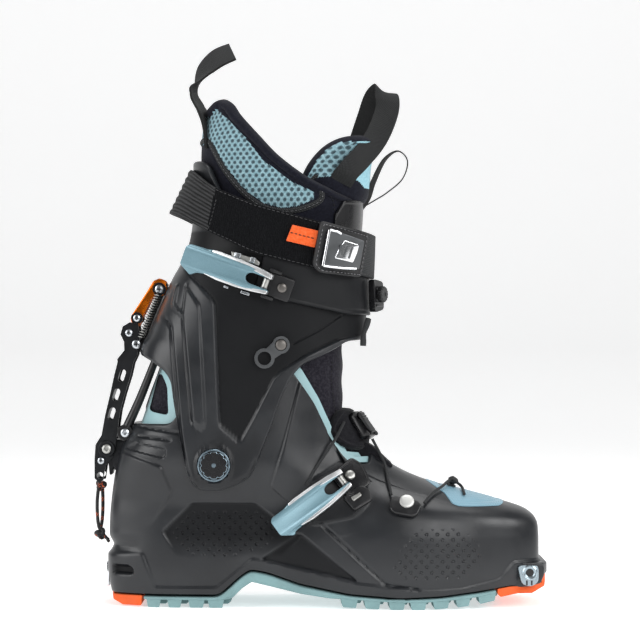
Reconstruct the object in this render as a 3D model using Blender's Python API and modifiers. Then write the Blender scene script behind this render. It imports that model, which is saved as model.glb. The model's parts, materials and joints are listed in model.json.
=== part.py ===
"""Alpine touring boot: shell, cuff, liner, buckles, walk mechanism and sole.

Frame: +X to the toe, +Y to the medial side (a right boot, its buckles face -Y), +Z up.
The helpers take millimetres and write metres.
"""
import math

import bmesh
import bpy
import numpy as np
from mathutils import Matrix, Vector

MM = 0.001

# Driving dimensions, in millimetres.
SHELL_WALL = 4.0
CUFF_WALL = 3.4
LINER_WALL = 7.0
GAP = 0.4
ARM_OUTER = 46.3
HEEL_X = -131.5
TOE_X = 136.5
PIVOT_X, PIVOT_Z = -64.8, 88.3
RING_STEPS = 36
LATERAL = -1
MEDIAL = 1

# Shell and cuff half widths against x: (x, lateral, medial).
FOOT_PLAN = [(-131, 33, 33), (-100, 37, 37), (-64, 38, 38), (-20, 40, 40), (20, 46, 45), (50, 50, 49),
             (75, 49, 49), (100, 44, 46), (120, 38, 42), (137, 31, 37)]
ANKLE_PLAN = [(-130, 34, 34), (-112, 39.5, 39.5), (-96, 41.8, 41.8), (-20, 41.8, 41.8), (10, 37, 37),
              (40, 31, 31), (137, 24, 28)]
SHELL_FLOOR = [(-132, 7.6), (-62, 7.6), (-50, 19), (-43, 24), (-32, 22), (-12, 15), (18, 9), (49, 6.8),
               (74, 8), (99, 11), (116, 13.4), (137, 14.5)]

scene_name = "alpine_touring_boot"
for old in list(bpy.data.objects):
    bpy.data.objects.remove(old, do_unlink=True)
parts = bpy.data.collections.new(scene_name)
cutters = bpy.data.collections.new("cutters")
for collection in (parts, cutters):
    bpy.context.scene.collection.children.link(collection)


# ---------------------------------------------------------------- materials

def make_material(name, color, roughness, metallic=0.0):
    """A Principled material of one colour."""
    material = bpy.data.materials.new(name)
    material.use_nodes = True
    shader = material.node_tree.nodes["Principled BSDF"]
    shader.inputs["Base Color"].default_value = (*color, 1.0)
    shader.inputs["Roughness"].default_value = roughness
    shader.inputs["Metallic"].default_value = metallic
    return material


MATERIALS = {
    "shell_plastic": make_material("shell_plastic", (0.030, 0.032, 0.036), 0.42),
    "black_plastic": make_material("black_plastic", (0.012, 0.012, 0.014), 0.38),
    "lever_blue": make_material("lever_blue", (0.23, 0.44, 0.52), 0.35, 0.3),
    "aqua_plastic": make_material("aqua_plastic", (0.42, 0.66, 0.69), 0.45),
    "sole_rubber": make_material("sole_rubber", (0.21, 0.38, 0.40), 0.8),
    "orange_plastic": make_material("orange_plastic", (0.85, 0.14, 0.02), 0.5),
    "orange_metal": make_material("orange_metal", (0.80, 0.20, 0.02), 0.35, 0.8),
    "steel": make_material("steel", (0.55, 0.56, 0.58), 0.3, 1.0),
    "black_steel": make_material("black_steel", (0.02, 0.02, 0.022), 0.35, 0.6),
    "chrome": make_material("chrome", (0.8, 0.8, 0.82), 0.12, 1.0),
    "liner_fabric": make_material("liner_fabric", (0.012, 0.012, 0.02), 0.9),
    "webbing": make_material("webbing", (0.015, 0.015, 0.017), 0.85),
    "orange_fabric": make_material("orange_fabric", (0.9, 0.16, 0.04), 0.85),
    "cord_black": make_material("cord_black", (0.02, 0.018, 0.018), 0.8),
    "footbed_foam": make_material("footbed_foam", (0.10, 0.11, 0.12), 0.9),
}


# ---------------------------------------------------------------- mesh helpers

def adopt(name, mesh, material, collection=parts, smooth_angle=math.radians(35)):
    """Makes the object of a finished mesh, shades it and gives it its material."""
    thing = bpy.data.objects.new(name, mesh)
    collection.objects.link(thing)
    if material:
        mesh.materials.append(MATERIALS[material])
    mesh.shade_smooth()
    mesh.set_sharp_from_angle(angle=smooth_angle)
    return thing


def mesh_of(bm, name):
    """Turns a bmesh with millimetre coordinates into a mesh in metres, its faces out."""
    bmesh.ops.remove_doubles(bm, verts=bm.verts, dist=0.0005)
    bmesh.ops.recalc_face_normals(bm, faces=bm.faces)
    bmesh.ops.scale(bm, vec=(MM, MM, MM), verts=bm.verts)
    mesh = bpy.data.meshes.new(name)
    bm.to_mesh(mesh)
    bm.free()
    return mesh


def grid_loft(rows, closed_rows):
    """A skin over rows of points, each row as long as the others."""
    bm = bmesh.new()
    verts = [[bm.verts.new(point) for point in row] for row in rows]
    count = len(rows[0])
    for low, high in zip(verts, verts[1:]):
        for i in range(count if closed_rows else count - 1):
            j = (i + 1) % count
            bm.faces.new((low[i], low[j], high[j], high[i]))
    return bm, verts


def tube_wall(name, outer, inner, material, closed=True, collection=parts):
    """A wall between two stacks of rings: open at both ends, and at the sides where the rings are arcs."""
    stack = outer + list(reversed(inner)) + [outer[0]]
    bm = bmesh.new()
    verts = [[bm.verts.new(point) for point in row] for row in stack[:-1]]
    verts.append(verts[0])
    count = len(outer[0])
    for low, high in zip(verts, verts[1:]):
        for i in range(count if closed else count - 1):
            j = (i + 1) % count
            bm.faces.new((low[i], low[j], high[j], high[i]))
    if not closed:
        levels = len(outer)
        for side in (0, count - 1):
            for k in range(levels - 1):
                a, b = verts[k][side], verts[k + 1][side]
                c, d = verts[2 * levels - 2 - k][side], verts[2 * levels - 1 - k][side]
                bm.faces.new((a, b, c, d))
    return adopt(name, mesh_of(bm, name), material, collection)


def cup(name, outer, inner, material, collection=parts):
    """A cup between two stacks of rings, floored at the first ring of each."""
    bm = bmesh.new()
    outer_rows = [[bm.verts.new(point) for point in row] for row in outer]
    inner_rows = [[bm.verts.new(point) for point in row] for row in inner]
    count = len(outer[0])
    for stack in (outer_rows, inner_rows[::-1]):
        for low, high in zip(stack, stack[1:]):
            for i in range(count):
                j = (i + 1) % count
                bm.faces.new((low[i], low[j], high[j], high[i]))
    for i in range(count):
        j = (i + 1) % count
        bm.faces.new((outer_rows[-1][i], outer_rows[-1][j], inner_rows[-1][j], inner_rows[-1][i]))
    for floor in (outer_rows[0], inner_rows[0]):
        fill_ring(bm, floor)
    return adopt(name, mesh_of(bm, name), material, collection)


def fill_ring(bm, ring):
    """Fills a ring whose two halves mirror each other with strips across it."""
    count = len(ring)
    half = count // 2
    for k in range(half):
        a, b = ring[k], ring[k + 1]
        c, d = ring[(count - k - 1) % count], ring[(count - k) % count]
        corners = list(dict.fromkeys((a, b, c, d)))
        bm.faces.new(corners)


def solid_loft(name, rings, material, collection=parts):
    """A closed body over a stack of full rings."""
    bm, verts = grid_loft(rings, closed_rows=True)
    fill_ring(bm, verts[0])
    fill_ring(bm, verts[-1])
    return adopt(name, mesh_of(bm, name), material, collection)


def plate(name, outline, low, high, material=None, placing=None, holes=(), collection=parts, bevel=0.0):
    """A flat outline in local XY between two local heights, cut by further outlines, then placed."""
    curve = bpy.data.curves.new(name, "CURVE")
    curve.dimensions = "2D"
    curve.fill_mode = "BOTH"
    curve.extrude = (high - low) / 2 * MM
    for loop in (outline, *holes):
        spline = curve.splines.new("POLY")
        spline.points.add(len(loop) - 1)
        for point, (u, v) in zip(spline.points, loop):
            point.co = (u * MM, v * MM, 0, 1)
        spline.use_cyclic_u = True
    flat = bpy.data.objects.new(name + "_flat", curve)
    bpy.context.scene.collection.objects.link(flat)
    evaluated = flat.evaluated_get(bpy.context.evaluated_depsgraph_get())
    mesh = bpy.data.meshes.new_from_object(evaluated)
    bpy.data.objects.remove(flat, do_unlink=True)
    bpy.data.curves.remove(curve)
    bm = bmesh.new()
    bm.from_mesh(mesh)
    bmesh.ops.translate(bm, vec=(0, 0, (high + low) / 2 * MM), verts=bm.verts)
    bmesh.ops.scale(bm, vec=(1 / MM,) * 3, verts=bm.verts)
    if placing:
        bmesh.ops.transform(bm, matrix=placing, verts=bm.verts)
    thing = adopt(name, mesh_of(bm, name), material, collection)
    bpy.data.meshes.remove(mesh)
    if bevel:
        add_bevel(thing, bevel)
    return thing


def add_bevel(thing, width, segments=1, angle=50):
    modifier = thing.modifiers.new("edges", "BEVEL")
    modifier.width = width * MM
    modifier.segments = segments
    modifier.limit_method = "ANGLE"
    modifier.angle_limit = math.radians(angle)


def combine(thing, other, operation="DIFFERENCE"):
    """A Boolean with another object, which becomes a hidden cutter."""
    modifier = thing.modifiers.new(other.name, "BOOLEAN")
    modifier.operation = operation
    modifier.solver = "EXACT"
    modifier.object = other
    other.hide_render = True
    other.display_type = "WIRE"
    for collection in list(other.users_collection):
        collection.objects.unlink(other)
    cutters.objects.link(other)
    return thing


def circle(radius, count=20, centre=(0, 0), start=0.0, turn=2 * math.pi):
    steps = count if turn >= 2 * math.pi else count - 1
    return [(centre[0] + radius * math.cos(start + turn * i / steps),
             centre[1] + radius * math.sin(start + turn * i / steps)) for i in range(count)]


def rounded(points, radius, steps=3):
    """A polygon with each corner replaced by a short curve."""
    result = []
    count = len(points)
    for i in range(count):
        before, corner, after = (Vector(points[(i + k) % count]) for k in (-1, 0, 1))
        reach = min(radius, (before - corner).length * 0.45, (after - corner).length * 0.45)
        start = corner + (before - corner).normalized() * reach
        end = corner + (after - corner).normalized() * reach
        for k in range(steps + 1):
            f = k / steps
            point = start * (1 - f) ** 2 + corner * 2 * f * (1 - f) + end * f ** 2
            result.append((point.x, point.y))
    return result


def slot_outline(centre, length, width, angle=0.0, steps=6):
    """A stadium shape."""
    reach = (length - width) / 2
    turn = Matrix.Rotation(angle, 2)
    loop = circle(width / 2, steps, (reach, 0), -math.pi / 2, math.pi)
    loop += circle(width / 2, steps, (-reach, 0), math.pi / 2, math.pi)
    return [tuple(Vector(centre) + turn @ Vector(point)) for point in loop]


def side_view():
    """Local X to world +X, local Y to world +Z, local Z to world -Y."""
    return Matrix(((1, 0, 0, 0), (0, 0, -1, 0), (0, 1, 0, 0), (0, 0, 0, 1)))


def side_plate(name, outline, y_near, y_far, material=None, **more):
    """A plate drawn in side view, (x, z), between two world y values."""
    return plate(name, outline, -y_far, -y_near, material, side_view(), **more)


def rod(name, points, radius, material, sides=8, smooth=False, closed=False):
    """A round bar or wire along a list of points."""
    curve = bpy.data.curves.new(name, "CURVE")
    curve.dimensions = "3D"
    curve.bevel_depth = radius * MM
    curve.bevel_resolution = max(0, sides // 2 - 2)
    curve.use_fill_caps = not closed
    spline = curve.splines.new("POLY")
    if smooth:
        points = smooth_path(points, smooth)
    spline.points.add(len(points) - 1)
    for point, place in zip(spline.points, points):
        point.co = (*(Vector(place) * MM), 1)
    spline.use_cyclic_u = closed
    flat = bpy.data.objects.new(name + "_path", curve)
    bpy.context.scene.collection.objects.link(flat)
    evaluated = flat.evaluated_get(bpy.context.evaluated_depsgraph_get())
    mesh = bpy.data.meshes.new_from_object(evaluated)
    bpy.data.objects.remove(flat, do_unlink=True)
    bpy.data.curves.remove(curve)
    bm = bmesh.new()
    bm.from_mesh(mesh)
    bpy.data.meshes.remove(mesh)
    bmesh.ops.scale(bm, vec=(1 / MM,) * 3, verts=bm.verts)
    bmesh.ops.remove_doubles(bm, verts=bm.verts, dist=0.005)
    return adopt(name, mesh_of(bm, name), material)


def smooth_path(points, count):
    """Reads a smooth curve through a route's points at even steps."""
    guide = [Vector(p) for p in points]
    guide = [guide[0] * 2 - guide[1]] + guide + [guide[-1] * 2 - guide[-2]]
    fine = []
    for a, b, c, d in zip(guide, guide[1:], guide[2:], guide[3:]):
        for k in range(12):
            t = k / 12
            fine.append(0.5 * ((2 * b) + (c - a) * t + (2 * a - 5 * b + 4 * c - d) * t * t
                               + (3 * b - a - 3 * c + d) * t ** 3))
    fine.append(guide[-2])
    lengths = np.cumsum([0] + [(q - p).length for p, q in zip(fine, fine[1:])])
    places = np.linspace(0, lengths[-1], count)
    table = np.array([tuple(p) for p in fine])
    return [Vector([np.interp(s, lengths, table[:, axis]) for axis in range(3)]) for s in places]


def turned(name, profile, placing, material, sides=24):
    """A turned piece: profile points (radius, height) from top to bottom, about the local Z axis."""
    bm = bmesh.new()
    rows = []
    for radius, height in profile:
        rows.append([bm.verts.new((radius * math.cos(2 * math.pi * i / sides),
                                   radius * math.sin(2 * math.pi * i / sides), height)) for i in range(sides)])
    for low, high in zip(rows, rows[1:] + rows[:1]):
        for i in range(sides):
            j = (i + 1) % sides
            bm.faces.new((low[i], low[j], high[j], high[i]))
    bmesh.ops.remove_doubles(bm, verts=bm.verts, dist=0.001)
    bmesh.ops.transform(bm, matrix=placing, verts=bm.verts)
    return adopt(name, mesh_of(bm, name), material)


def stud(name, radius, low, high, placing, material, sides=20, collection=parts):
    """A round stud with a softened head; its axis is the placing's local Z."""
    edge = min(0.6, radius / 3, (high - low) / 3)
    bm = bmesh.new()
    profile = [(radius, low), (radius, high - edge), (radius - edge, high)]
    rows = [[bm.verts.new((r * math.cos(2 * math.pi * i / sides), r * math.sin(2 * math.pi * i / sides), h))
             for i in range(sides)] for r, h in profile]
    for a, b in zip(rows, rows[1:]):
        for i in range(sides):
            j = (i + 1) % sides
            bm.faces.new((a[i], a[j], b[j], b[i]))
    bm.faces.new(rows[0])
    bm.faces.new(rows[-1])
    bmesh.ops.transform(bm, matrix=placing, verts=bm.verts)
    return adopt(name, mesh_of(bm, name), material, collection)


# ---------------------------------------------------------------- ring shapes

class Ring:
    """One tilted outline round the boot, from a point at its back to a point at its front."""

    def __init__(self, back, front, plan, blunt=(4.0, 4.0), scale=1.0, floor=None):
        self.back, self.front, self.plan = back, front, plan
        self.blunt, self.scale, self.floor = blunt, scale, floor

    def point(self, angle, inset=0.0):
        """The point at an angle, 0 in front, pi behind, positive on the lateral side."""
        s = (1 + math.cos(angle)) / 2
        x_back, x_front = self.back[0] + inset, self.front[0] - inset
        x = x_back + (x_front - x_back) * s
        whole = (x - self.back[0]) / (self.front[0] - self.back[0])
        z = self.back[1] + (self.front[1] - self.back[1]) * whole
        if self.floor:
            z = self.floor(x)
        c = 2 * s - 1
        blunt = self.blunt[1] if c > 0 else self.blunt[0]
        end = max(0.0, 1 - abs(c) ** blunt) ** (1 / blunt)
        lateral, medial = self.plan(x)
        side = math.sin(angle)
        if abs(side) < 1e-9:
            return Vector((x, 0, z))
        half = ((lateral if side > 0 else medial) * self.scale - inset) * end
        return Vector((x, -half if side > 0 else half, z))

    def points(self, inset=0.0, angles=None):
        if angles is None:
            angles = [2 * math.pi * i / RING_STEPS for i in range(RING_STEPS)]
        return [self.point(a, inset) for a in angles]


def table_plan(table):
    xs, lateral, medial = zip(*table)
    return lambda x: (float(np.interp(x, xs, lateral)), float(np.interp(x, xs, medial)))


def mixed_plan(amount):
    foot, ankle = table_plan(FOOT_PLAN), table_plan(ANKLE_PLAN)
    return lambda x: tuple(f * (1 - amount) + a * amount for f, a in zip(foot(x), ankle(x)))


def even_plan(half):
    return lambda x: (half, half)


def floor_height(lift, share=0.0, top=46.0):
    xs, zs = zip(*SHELL_FLOOR)
    return lambda x: (float(np.interp(x, xs, zs)) + lift) * (1 - share) + top * share


def mix_rings(a, b, f):
    """The ring part of the way from one ring to another of the same kind."""
    def blend(p, q):
        return tuple(u * (1 - f) + v * f for u, v in zip(p, q))
    return Ring(blend(a.back, b.back), blend(a.front, b.front),
                lambda x: blend(a.plan(x), b.plan(x)), blend(a.blunt, b.blunt), a.scale * (1 - f) + b.scale * f)


def wall_point(rings, x, z, side=LATERAL, inset=0.0):
    """The point of a wall seen at (x, z) from the side."""
    def at_level(level):
        k = min(int(level), len(rings) - 2)
        ring = mix_rings(rings[k], rings[k + 1], level - k)
        back, front = ring.back[0] + inset, ring.front[0] - inset
        c = max(-1.0, min(1.0, 2 * (x - back) / (front - back) - 1))
        return ring.point(-side * math.acos(c), inset)
    low, high = 0.0, len(rings) - 1.0001
    for _ in range(30):
        middle = (low + high) / 2
        if at_level(middle).z < z:
            low = middle
        else:
            high = middle
    return at_level((low + high) / 2)


def wall_frame(rings, x, z, lift=0.0, turn=0.0, side=LATERAL):
    """A placing on the lateral or medial wall: local X along it towards the toe, local Z out of it."""
    here = wall_point(rings, x, z, side)
    along = (wall_point(rings, x + 3, z, side) - wall_point(rings, x - 3, z, side)).normalized()
    up = (wall_point(rings, x, z + 3, side) - wall_point(rings, x, z - 3, side)).normalized()
    out = along.cross(up) if side == LATERAL else up.cross(along)
    out.normalize()
    if side == MEDIAL:
        along = -along
    up = out.cross(along)
    frame = Matrix((along, up, out)).transposed().to_4x4()
    frame.translation = here + out * lift
    return frame @ Matrix.Rotation(turn, 4, "Z")


SHELL_RINGS = [
    Ring((HEEL_X + 2.5, 46), (TOE_X - 2, 44), mixed_plan(0), (5, 6), 0.93, floor_height(0.0)),
    Ring((HEEL_X + 0.4, 46), (TOE_X, 44), mixed_plan(0), (5, 6), 0.99, floor_height(0.0, 0.3)),
    Ring((HEEL_X, 30), (TOE_X, 30), mixed_plan(0), (5, 6), 1.0, floor_height(0.0, 0.65)),
    Ring((HEEL_X, 46), (TOE_X, 44), mixed_plan(0), (5, 5.5), 0.99),
    Ring((HEEL_X + 0.2, 55), (135.5, 52), mixed_plan(0.04), (4.8, 5), 0.975),
    Ring((HEEL_X + 0.7, 62), (130, 58), mixed_plan(0.10), (4.5, 4), 0.96),
    Ring((HEEL_X + 1.3, 68), (116, 63), mixed_plan(0.22), (4.3, 3.2), 0.96),
    Ring((HEEL_X + 2.1, 74), (93, 69.5), mixed_plan(0.42), (4.2, 2.7), 0.97),
    Ring((HEEL_X + 3.2, 81), (67, 76.5), mixed_plan(0.65), (4.1, 2.5), 0.98),
    Ring((HEEL_X + 4.8, 89), (46, 86), mixed_plan(0.88), (4, 2.4), 1.0),
    Ring((HEEL_X + 7, 97), (31.5, 98), mixed_plan(1), (3.8, 2.4), 1.0),
    Ring((HEEL_X + 12, 106), (26, 112), mixed_plan(1), (3.4, 2.4), 0.995),
    Ring((-116, 116), (24, 126), mixed_plan(1), (3.0, 2.4), 0.985),
    Ring((-111, 131), (22, 140), mixed_plan(1), (2.8, 2.4), 0.975),
    Ring((-104.5, 149), (20, 155), mixed_plan(1), (2.6, 2.4), 0.965),
]

CUFF_RINGS = [
    Ring((-117, 62), (20, 62), even_plan(ARM_OUTER), (5.5, 5.0)),
    Ring((-117, 110), (25, 112), even_plan(ARM_OUTER), (4.6, 4.2)),
    Ring((-112.5, 156), (28, 152), even_plan(ARM_OUTER), (3.4, 3.4)),
    Ring((-106, 172), (29, 168), even_plan(ARM_OUTER + 0.1), (3.0, 3.0)),
    Ring((-94.5, 199), (29, 190), even_plan(47.3), (2.7, 2.7)),
    Ring((-86.5, 214), (28.5, 205), even_plan(48.3), (2.5, 2.5)),
    Ring((-81.5, 228), (29, 219), even_plan(49.3), (2.4, 2.4)),
    Ring((-79.5, 246), (30.5, 236), even_plan(50.0), (2.35, 2.35)),
    Ring((-79.6, 264), (31.5, 252), even_plan(50.5), (2.3, 2.3)),
    Ring((-79.6, 281), (32, 268), even_plan(50.5), (2.3, 2.3)),
]
LINER_ANKLE_RINGS = [
    Ring((-117, 92), (29, 89.5), even_plan(30.5), (2.8, 2.4)),
    Ring((-115, 99), (23, 100), even_plan(31.0), (2.7, 2.3)),
    Ring((-110.5, 109), (15.5, 113), even_plan(31.5), (2.6, 2.2)),
    Ring((-106, 120), (14, 128), even_plan(32.0), (2.5, 2.2)),
    Ring((-101.5, 133), (14, 142), even_plan(32.3), (2.4, 2.2)),
    Ring((-96.5, 147), (14, 155), even_plan(32.6), (2.3, 2.2)),
    Ring((-95, 158), (14, 165), even_plan(36.0), (2.3, 2.2)),
]
LINER_CUFF_RINGS = [
    Ring((-96.5, 167), (14, 174), even_plan(40.5), (2.3, 2.3)),
    Ring((-90, 188), (18, 186), even_plan(42.0), (2.3, 2.3)),
    Ring((-81.5, 212), (22, 204), even_plan(43.3), (2.3, 2.3)),
    Ring((-76.5, 232), (23.5, 222), even_plan(44.0), (2.3, 2.3)),
    Ring((-75, 250), (24.5, 240), even_plan(44.5), (2.3, 2.3)),
    Ring((-74.5, 270), (25.5, 258), even_plan(45.0), (2.3, 2.3)),
    Ring((-74.5, 288), (27, 274), even_plan(45.5), (2.3, 2.3)),
    Ring((-71.5, 306), (30, 292), even_plan(46.0), (2.3, 2.3)),
    Ring((-66, 324), (33, 308), even_plan(46.0), (2.3, 2.3)),
]
STRAP_RINGS = [
    Ring((-91.5, 236), (34, 205), even_plan(54.0), (2.5, 2.5)),
    Ring((-89, 250), (34.6, 218), even_plan(55.2), (2.5, 2.5)),
    Ring((-86.5, 264), (35, 231), even_plan(55.2), (2.5, 2.5)),
]


# ---------------------------------------------------------------- lower shell, collar and liner

def arc(reach, count, centre=0.0):
    """Ring angles from one side to the other about a middle direction: 0 is the front, pi the back."""
    return [centre + reach * (1 - 2 * i / (count - 1)) for i in range(count)]


def levels_of(rings, low, high, inset=0.0, angles=None, count=None):
    """Rings' points between two levels of a stack, both given as fractions of its index."""
    count = count or int(round(high - low)) + 1
    stack = []
    for level in np.linspace(low, high, count):
        k = min(int(level), len(rings) - 2)
        stack.append(mix_rings(rings[k], rings[k + 1], level - k).points(inset, angles))
    return stack


def build_lower_shell():
    shell = solid_loft("lower_shell", [ring.points() for ring in SHELL_RINGS], "shell_plastic")
    welt = rounded([(108, -32.2), (136, -31.5), (141.2, -22), (141.2, 24), (136, 34), (108, 34.8)], 4)
    upright = Matrix.Identity(4)
    combine(shell, plate("toe_welt", welt, 20.8, 26.5, None, upright), "UNION")
    cheeks = [(112, -32.2), (136.8, -32.2), (136.8, 34.8), (112, 34.8)]
    combine(shell, plate("toe_cheeks", cheeks, 15.2, 23.0, None, upright), "UNION")
    first, top = SHELL_RINGS[0], SHELL_RINGS[-1]
    floor = Ring(first.back, first.front, mixed_plan(0), (5, 6), 0.93, floor_height(5.0))
    above = Ring((top.back[0], top.back[1] + 8), (top.front[0], top.front[1] + 8), top.plan, top.blunt, top.scale)
    hollow = [ring.points(SHELL_WALL) for ring in [floor] + SHELL_RINGS[2:] + [above]]
    combine(shell, solid_loft("shell_hollow", hollow, None, cutters))
    throat = [(-150, 113.5), (-92, 113.5), (-84, 124), (-72, 141), (-60, 147), (-19, 148), (-14, 142), (-4, 127),
              (3, 112), (9, 97), (14, 91), (21, 88.5), (31, 88.5), (33, 104), (45, 150), (45, 220), (-150, 220)]
    combine(shell, side_plate("throat_cut", throat, -70, 70))
    for side, name in ((LATERAL, "lateral"), (MEDIAL, "medial")):
        far = side * 60
        bore = side_plate("bush_bore_" + name, circle(7.4, 20, (PIVOT_X, PIVOT_Z)), min(far, side * 20),
                          max(far, side * 20))
        combine(shell, bore)
    return shell


def build_collar():
    inset = SHELL_WALL + 2 * GAP
    outer = levels_of(SHELL_RINGS, 9.2, 14, inset)
    inner = levels_of(SHELL_RINGS, 9.2, 14, inset + 1.8)
    collar = tube_wall("shell_collar", outer, inner, "aqua_plastic")
    edge = [(-150, 147.5), (-64, 150), (-15, 151), (-11, 146), (-1, 129), (6, 113.5), (12, 99), (16, 94.5),
            (22, 92), (36, 92), (60, 150), (60, 220), (-150, 220)]
    combine(collar, side_plate("collar_cut", edge, -70, 70))
    window = rounded([(-106.5, 120.5), (-93.5, 118), (-94.5, 136), (-98.5, 143.5), (-101, 143)], 3)
    combine(collar, side_plate("window_cut", window, -70, 70))
    for side, name in ((LATERAL, "lateral"), (MEDIAL, "medial")):
        near, far = sorted((side * 20, side * 60))
        combine(collar, side_plate("collar_bore_" + name, circle(8.6, 20, (PIVOT_X, PIVOT_Z)), near, far))


def build_liner():
    foot_inset = SHELL_WALL + 1.2
    base = SHELL_RINGS[0]

    def floor_ring(lift):
        return Ring(base.back, base.front, mixed_plan(0), (5, 6), 0.93, floor_height(lift))
    board = [floor_ring(lift).points(foot_inset + 2.0) for lift in (6.8, 9.2)]
    solid_loft("boot_board", board, "black_plastic")
    outer = [floor_ring(10.0).points(foot_inset + 0.8)] + [r.points(foot_inset) for r in SHELL_RINGS[3:9]]
    inner = [floor_ring(14.0).points(foot_inset + LINER_WALL - 1)]
    inner += [r.points(foot_inset + LINER_WALL - 2) for r in SHELL_RINGS[3:9]]
    cup("liner_foot", outer, inner, "liner_fabric")
    tube_wall("liner_ankle", levels_of(LINER_ANKLE_RINGS, 0, 6), levels_of(LINER_ANKLE_RINGS, 0, 6, 5.0),
              "liner_fabric")
    upper = tube_wall("liner_cuff", [r.points() for r in LINER_CUFF_RINGS],
                      [r.points(LINER_WALL) for r in LINER_CUFF_RINGS], "liner_fabric")
    collar_line = [(-80, 303), (-70, 309), (-63, 315), (-56, 311), (-50, 303), (-38, 291), (-25, 277), (-9, 266),
                   (5, 259), (19, 253.5), (45, 249), (60, 340), (-80, 340)]
    combine(upper, side_plate("collar_line_cut", collar_line, -70, 70))
    span = arc(math.radians(82), 13)
    tongue = tube_wall("liner_tongue", levels_of(LINER_CUFF_RINGS, 0.4, 7.9, LINER_WALL + GAP, span, 9),
                       levels_of(LINER_CUFF_RINGS, 0.4, 7.9, LINER_WALL + GAP + 6.5, span, 9), "liner_fabric",
                       closed=False)
    tongue_top = [(-60, 200), (-24, 215), (-16, 250), (-10, 266), (-4, 277), (3, 286), (11, 290.5), (24, 291),
                  (40, 291), (40, 340), (-60, 340)]
    combine(tongue, side_plate("tongue_top_cut", tongue_top, -70, 70))


def build_pad():
    """The padded cover over the instep opening."""
    span = arc(math.radians(52), 11)
    pad = tube_wall("instep_pad", levels_of(LINER_ANKLE_RINGS, 0.8, 2.7, -4.2, span, 4),
                    levels_of(LINER_ANKLE_RINGS, 0.8, 2.7, -0.8, span, 4), "webbing", closed=False)
    keep = [(16, 99.5), (12.5, 103.5), (8, 113), (4.5, 121), (45, 121), (45, 99.5)]
    combine(pad, side_plate("pad_outline", keep, -70, 70), "INTERSECT")


# ---------------------------------------------------------------- sole

def foot_prism(name, scale, low, high, inset, collection=cutters):
    """An upright prism of the foot's outline."""
    ring = Ring((HEEL_X + 1, 0), (TOE_X - 1, 0), mixed_plan(0), (5, 6), scale)
    outline = [(p.x, p.y) for p in ring.points(inset)]
    return plate(name, outline, low, high, None, Matrix.Identity(4), collection=collection)


def sole_underside(x):
    """The height of the lugs' tips: flat under the heel and ball, sprung up at the toe."""
    xs = [-131, -120, -107, -60, 5, 25, 42, 65, 90, 112, 125]
    zs = [2.5, 0.6, 0, 0, 1.6, 0.8, 0, 0, 1.8, 5.4, 8.5]
    return float(np.interp(x, xs, zs))


def build_outsole():
    rim = [p for p in SHELL_RINGS[0].points() if p.y <= 0 and -109 < p.x < 108]
    floor = floor_height(-2 * GAP)
    profile = [(108, floor(108))] + [(p.x, p.z - 2 * GAP) for p in rim] + [(-109, floor(-109))]
    lugs = [(-106, -99), (-93, -86), (-80, -72), (-68, -60)]
    lugs += [(14, 22), (28, 36), (43, 51), (56, 64), (70, 78), (84, 91), (98, 107)]
    lug_depth = 4.2
    bottom = [(-109, 4.6)]
    for start, end in lugs:
        if start == 14:
            bottom += [(-54, 5.5), (-48, 11.5), (-42, 15.5), (-12, 8.5), (6, 6.0)]
        bottom += [(start - 0.8, sole_underside(start) + lug_depth), (start, sole_underside(start)),
                   (end, sole_underside(end)), (end + 0.8, sole_underside(end) + lug_depth)]
    outline = bottom + profile
    sole = side_plate("outsole", outline, -56, 56, "sole_rubber")
    combine(sole, foot_prism("sole_outline", 0.97, -5, 40, 0.0), "INTERSECT")


def build_bumpers_and_inserts():
    heel = [(HEEL_X + 1, 7.2), (HEEL_X + 0.6, 4.5), (-122, 0.9), (-110.2, 0.9), (-109.6, 7.2)]
    bumper = side_plate("heel_bumper", heel, -56, 56, "orange_plastic")
    combine(bumper, foot_prism("heel_bumper_outline", 0.965, -5, 40, 0.0), "INTERSECT")
    toe = [(109, 8.6), (111, 6.9), (122, 8.6), (131, 8.0), (141.5, 12.5), (141.5, 20), (137.6, 20), (137.6, 13.9),
           (116, 12.9), (109, 11.9)]
    bumper = side_plate("toe_bumper", toe, -56, 56, "orange_plastic")
    ring = Ring((HEEL_X, 0), (TOE_X + 5.2, 0), mixed_plan(0), (5, 5), 0.99)
    outline = [(p.x, p.y) for p in ring.points(0)]
    combine(bumper, plate("toe_bumper_outline", outline, -5, 40, None, Matrix.Identity(4), collection=cutters),
            "INTERSECT")
    shield = rounded([(121.5, 26), (124, 14.5), (130, 12.8), (134.5, 16), (134.5, 26)], 2.5)
    for side, name in ((LATERAL, "lateral"), (MEDIAL, "medial")):
        face = 32.8 if side == LATERAL else 36.2
        near, far = sorted((side * face, side * (face + 2.6)))
        side_plate("toe_insert_" + name, shield, near, far, "steel", holes=[circle(2.3, 14, (129, 21.6))])
    plate("heel_insert", rounded([(-11, 10.5), (11, 10.5), (11, 26), (-11, 26)], 2), 0, 1.6, "steel",
          Matrix.Translation((HEEL_X - 1.9, 0, 0)) @ Matrix(((0, 0, 1, 0), (1, 0, 0, 0), (0, 1, 0, 0), (0, 0, 0, 1))),
          holes=[rounded([(-4, 15), (4, 15), (4, 21), (-4, 21)], 1)])


def build_vamp():
    """The light panel over the toes."""
    span = arc(math.radians(38), 9)
    tube_wall("toe_vamp_panel", levels_of(SHELL_RINGS, 6.05, 8.0, -1.4, span, 6),
              levels_of(SHELL_RINGS, 6.05, 8.0, -0.4, span, 6), "aqua_plastic", closed=False)


# ---------------------------------------------------------------- cuff

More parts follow.
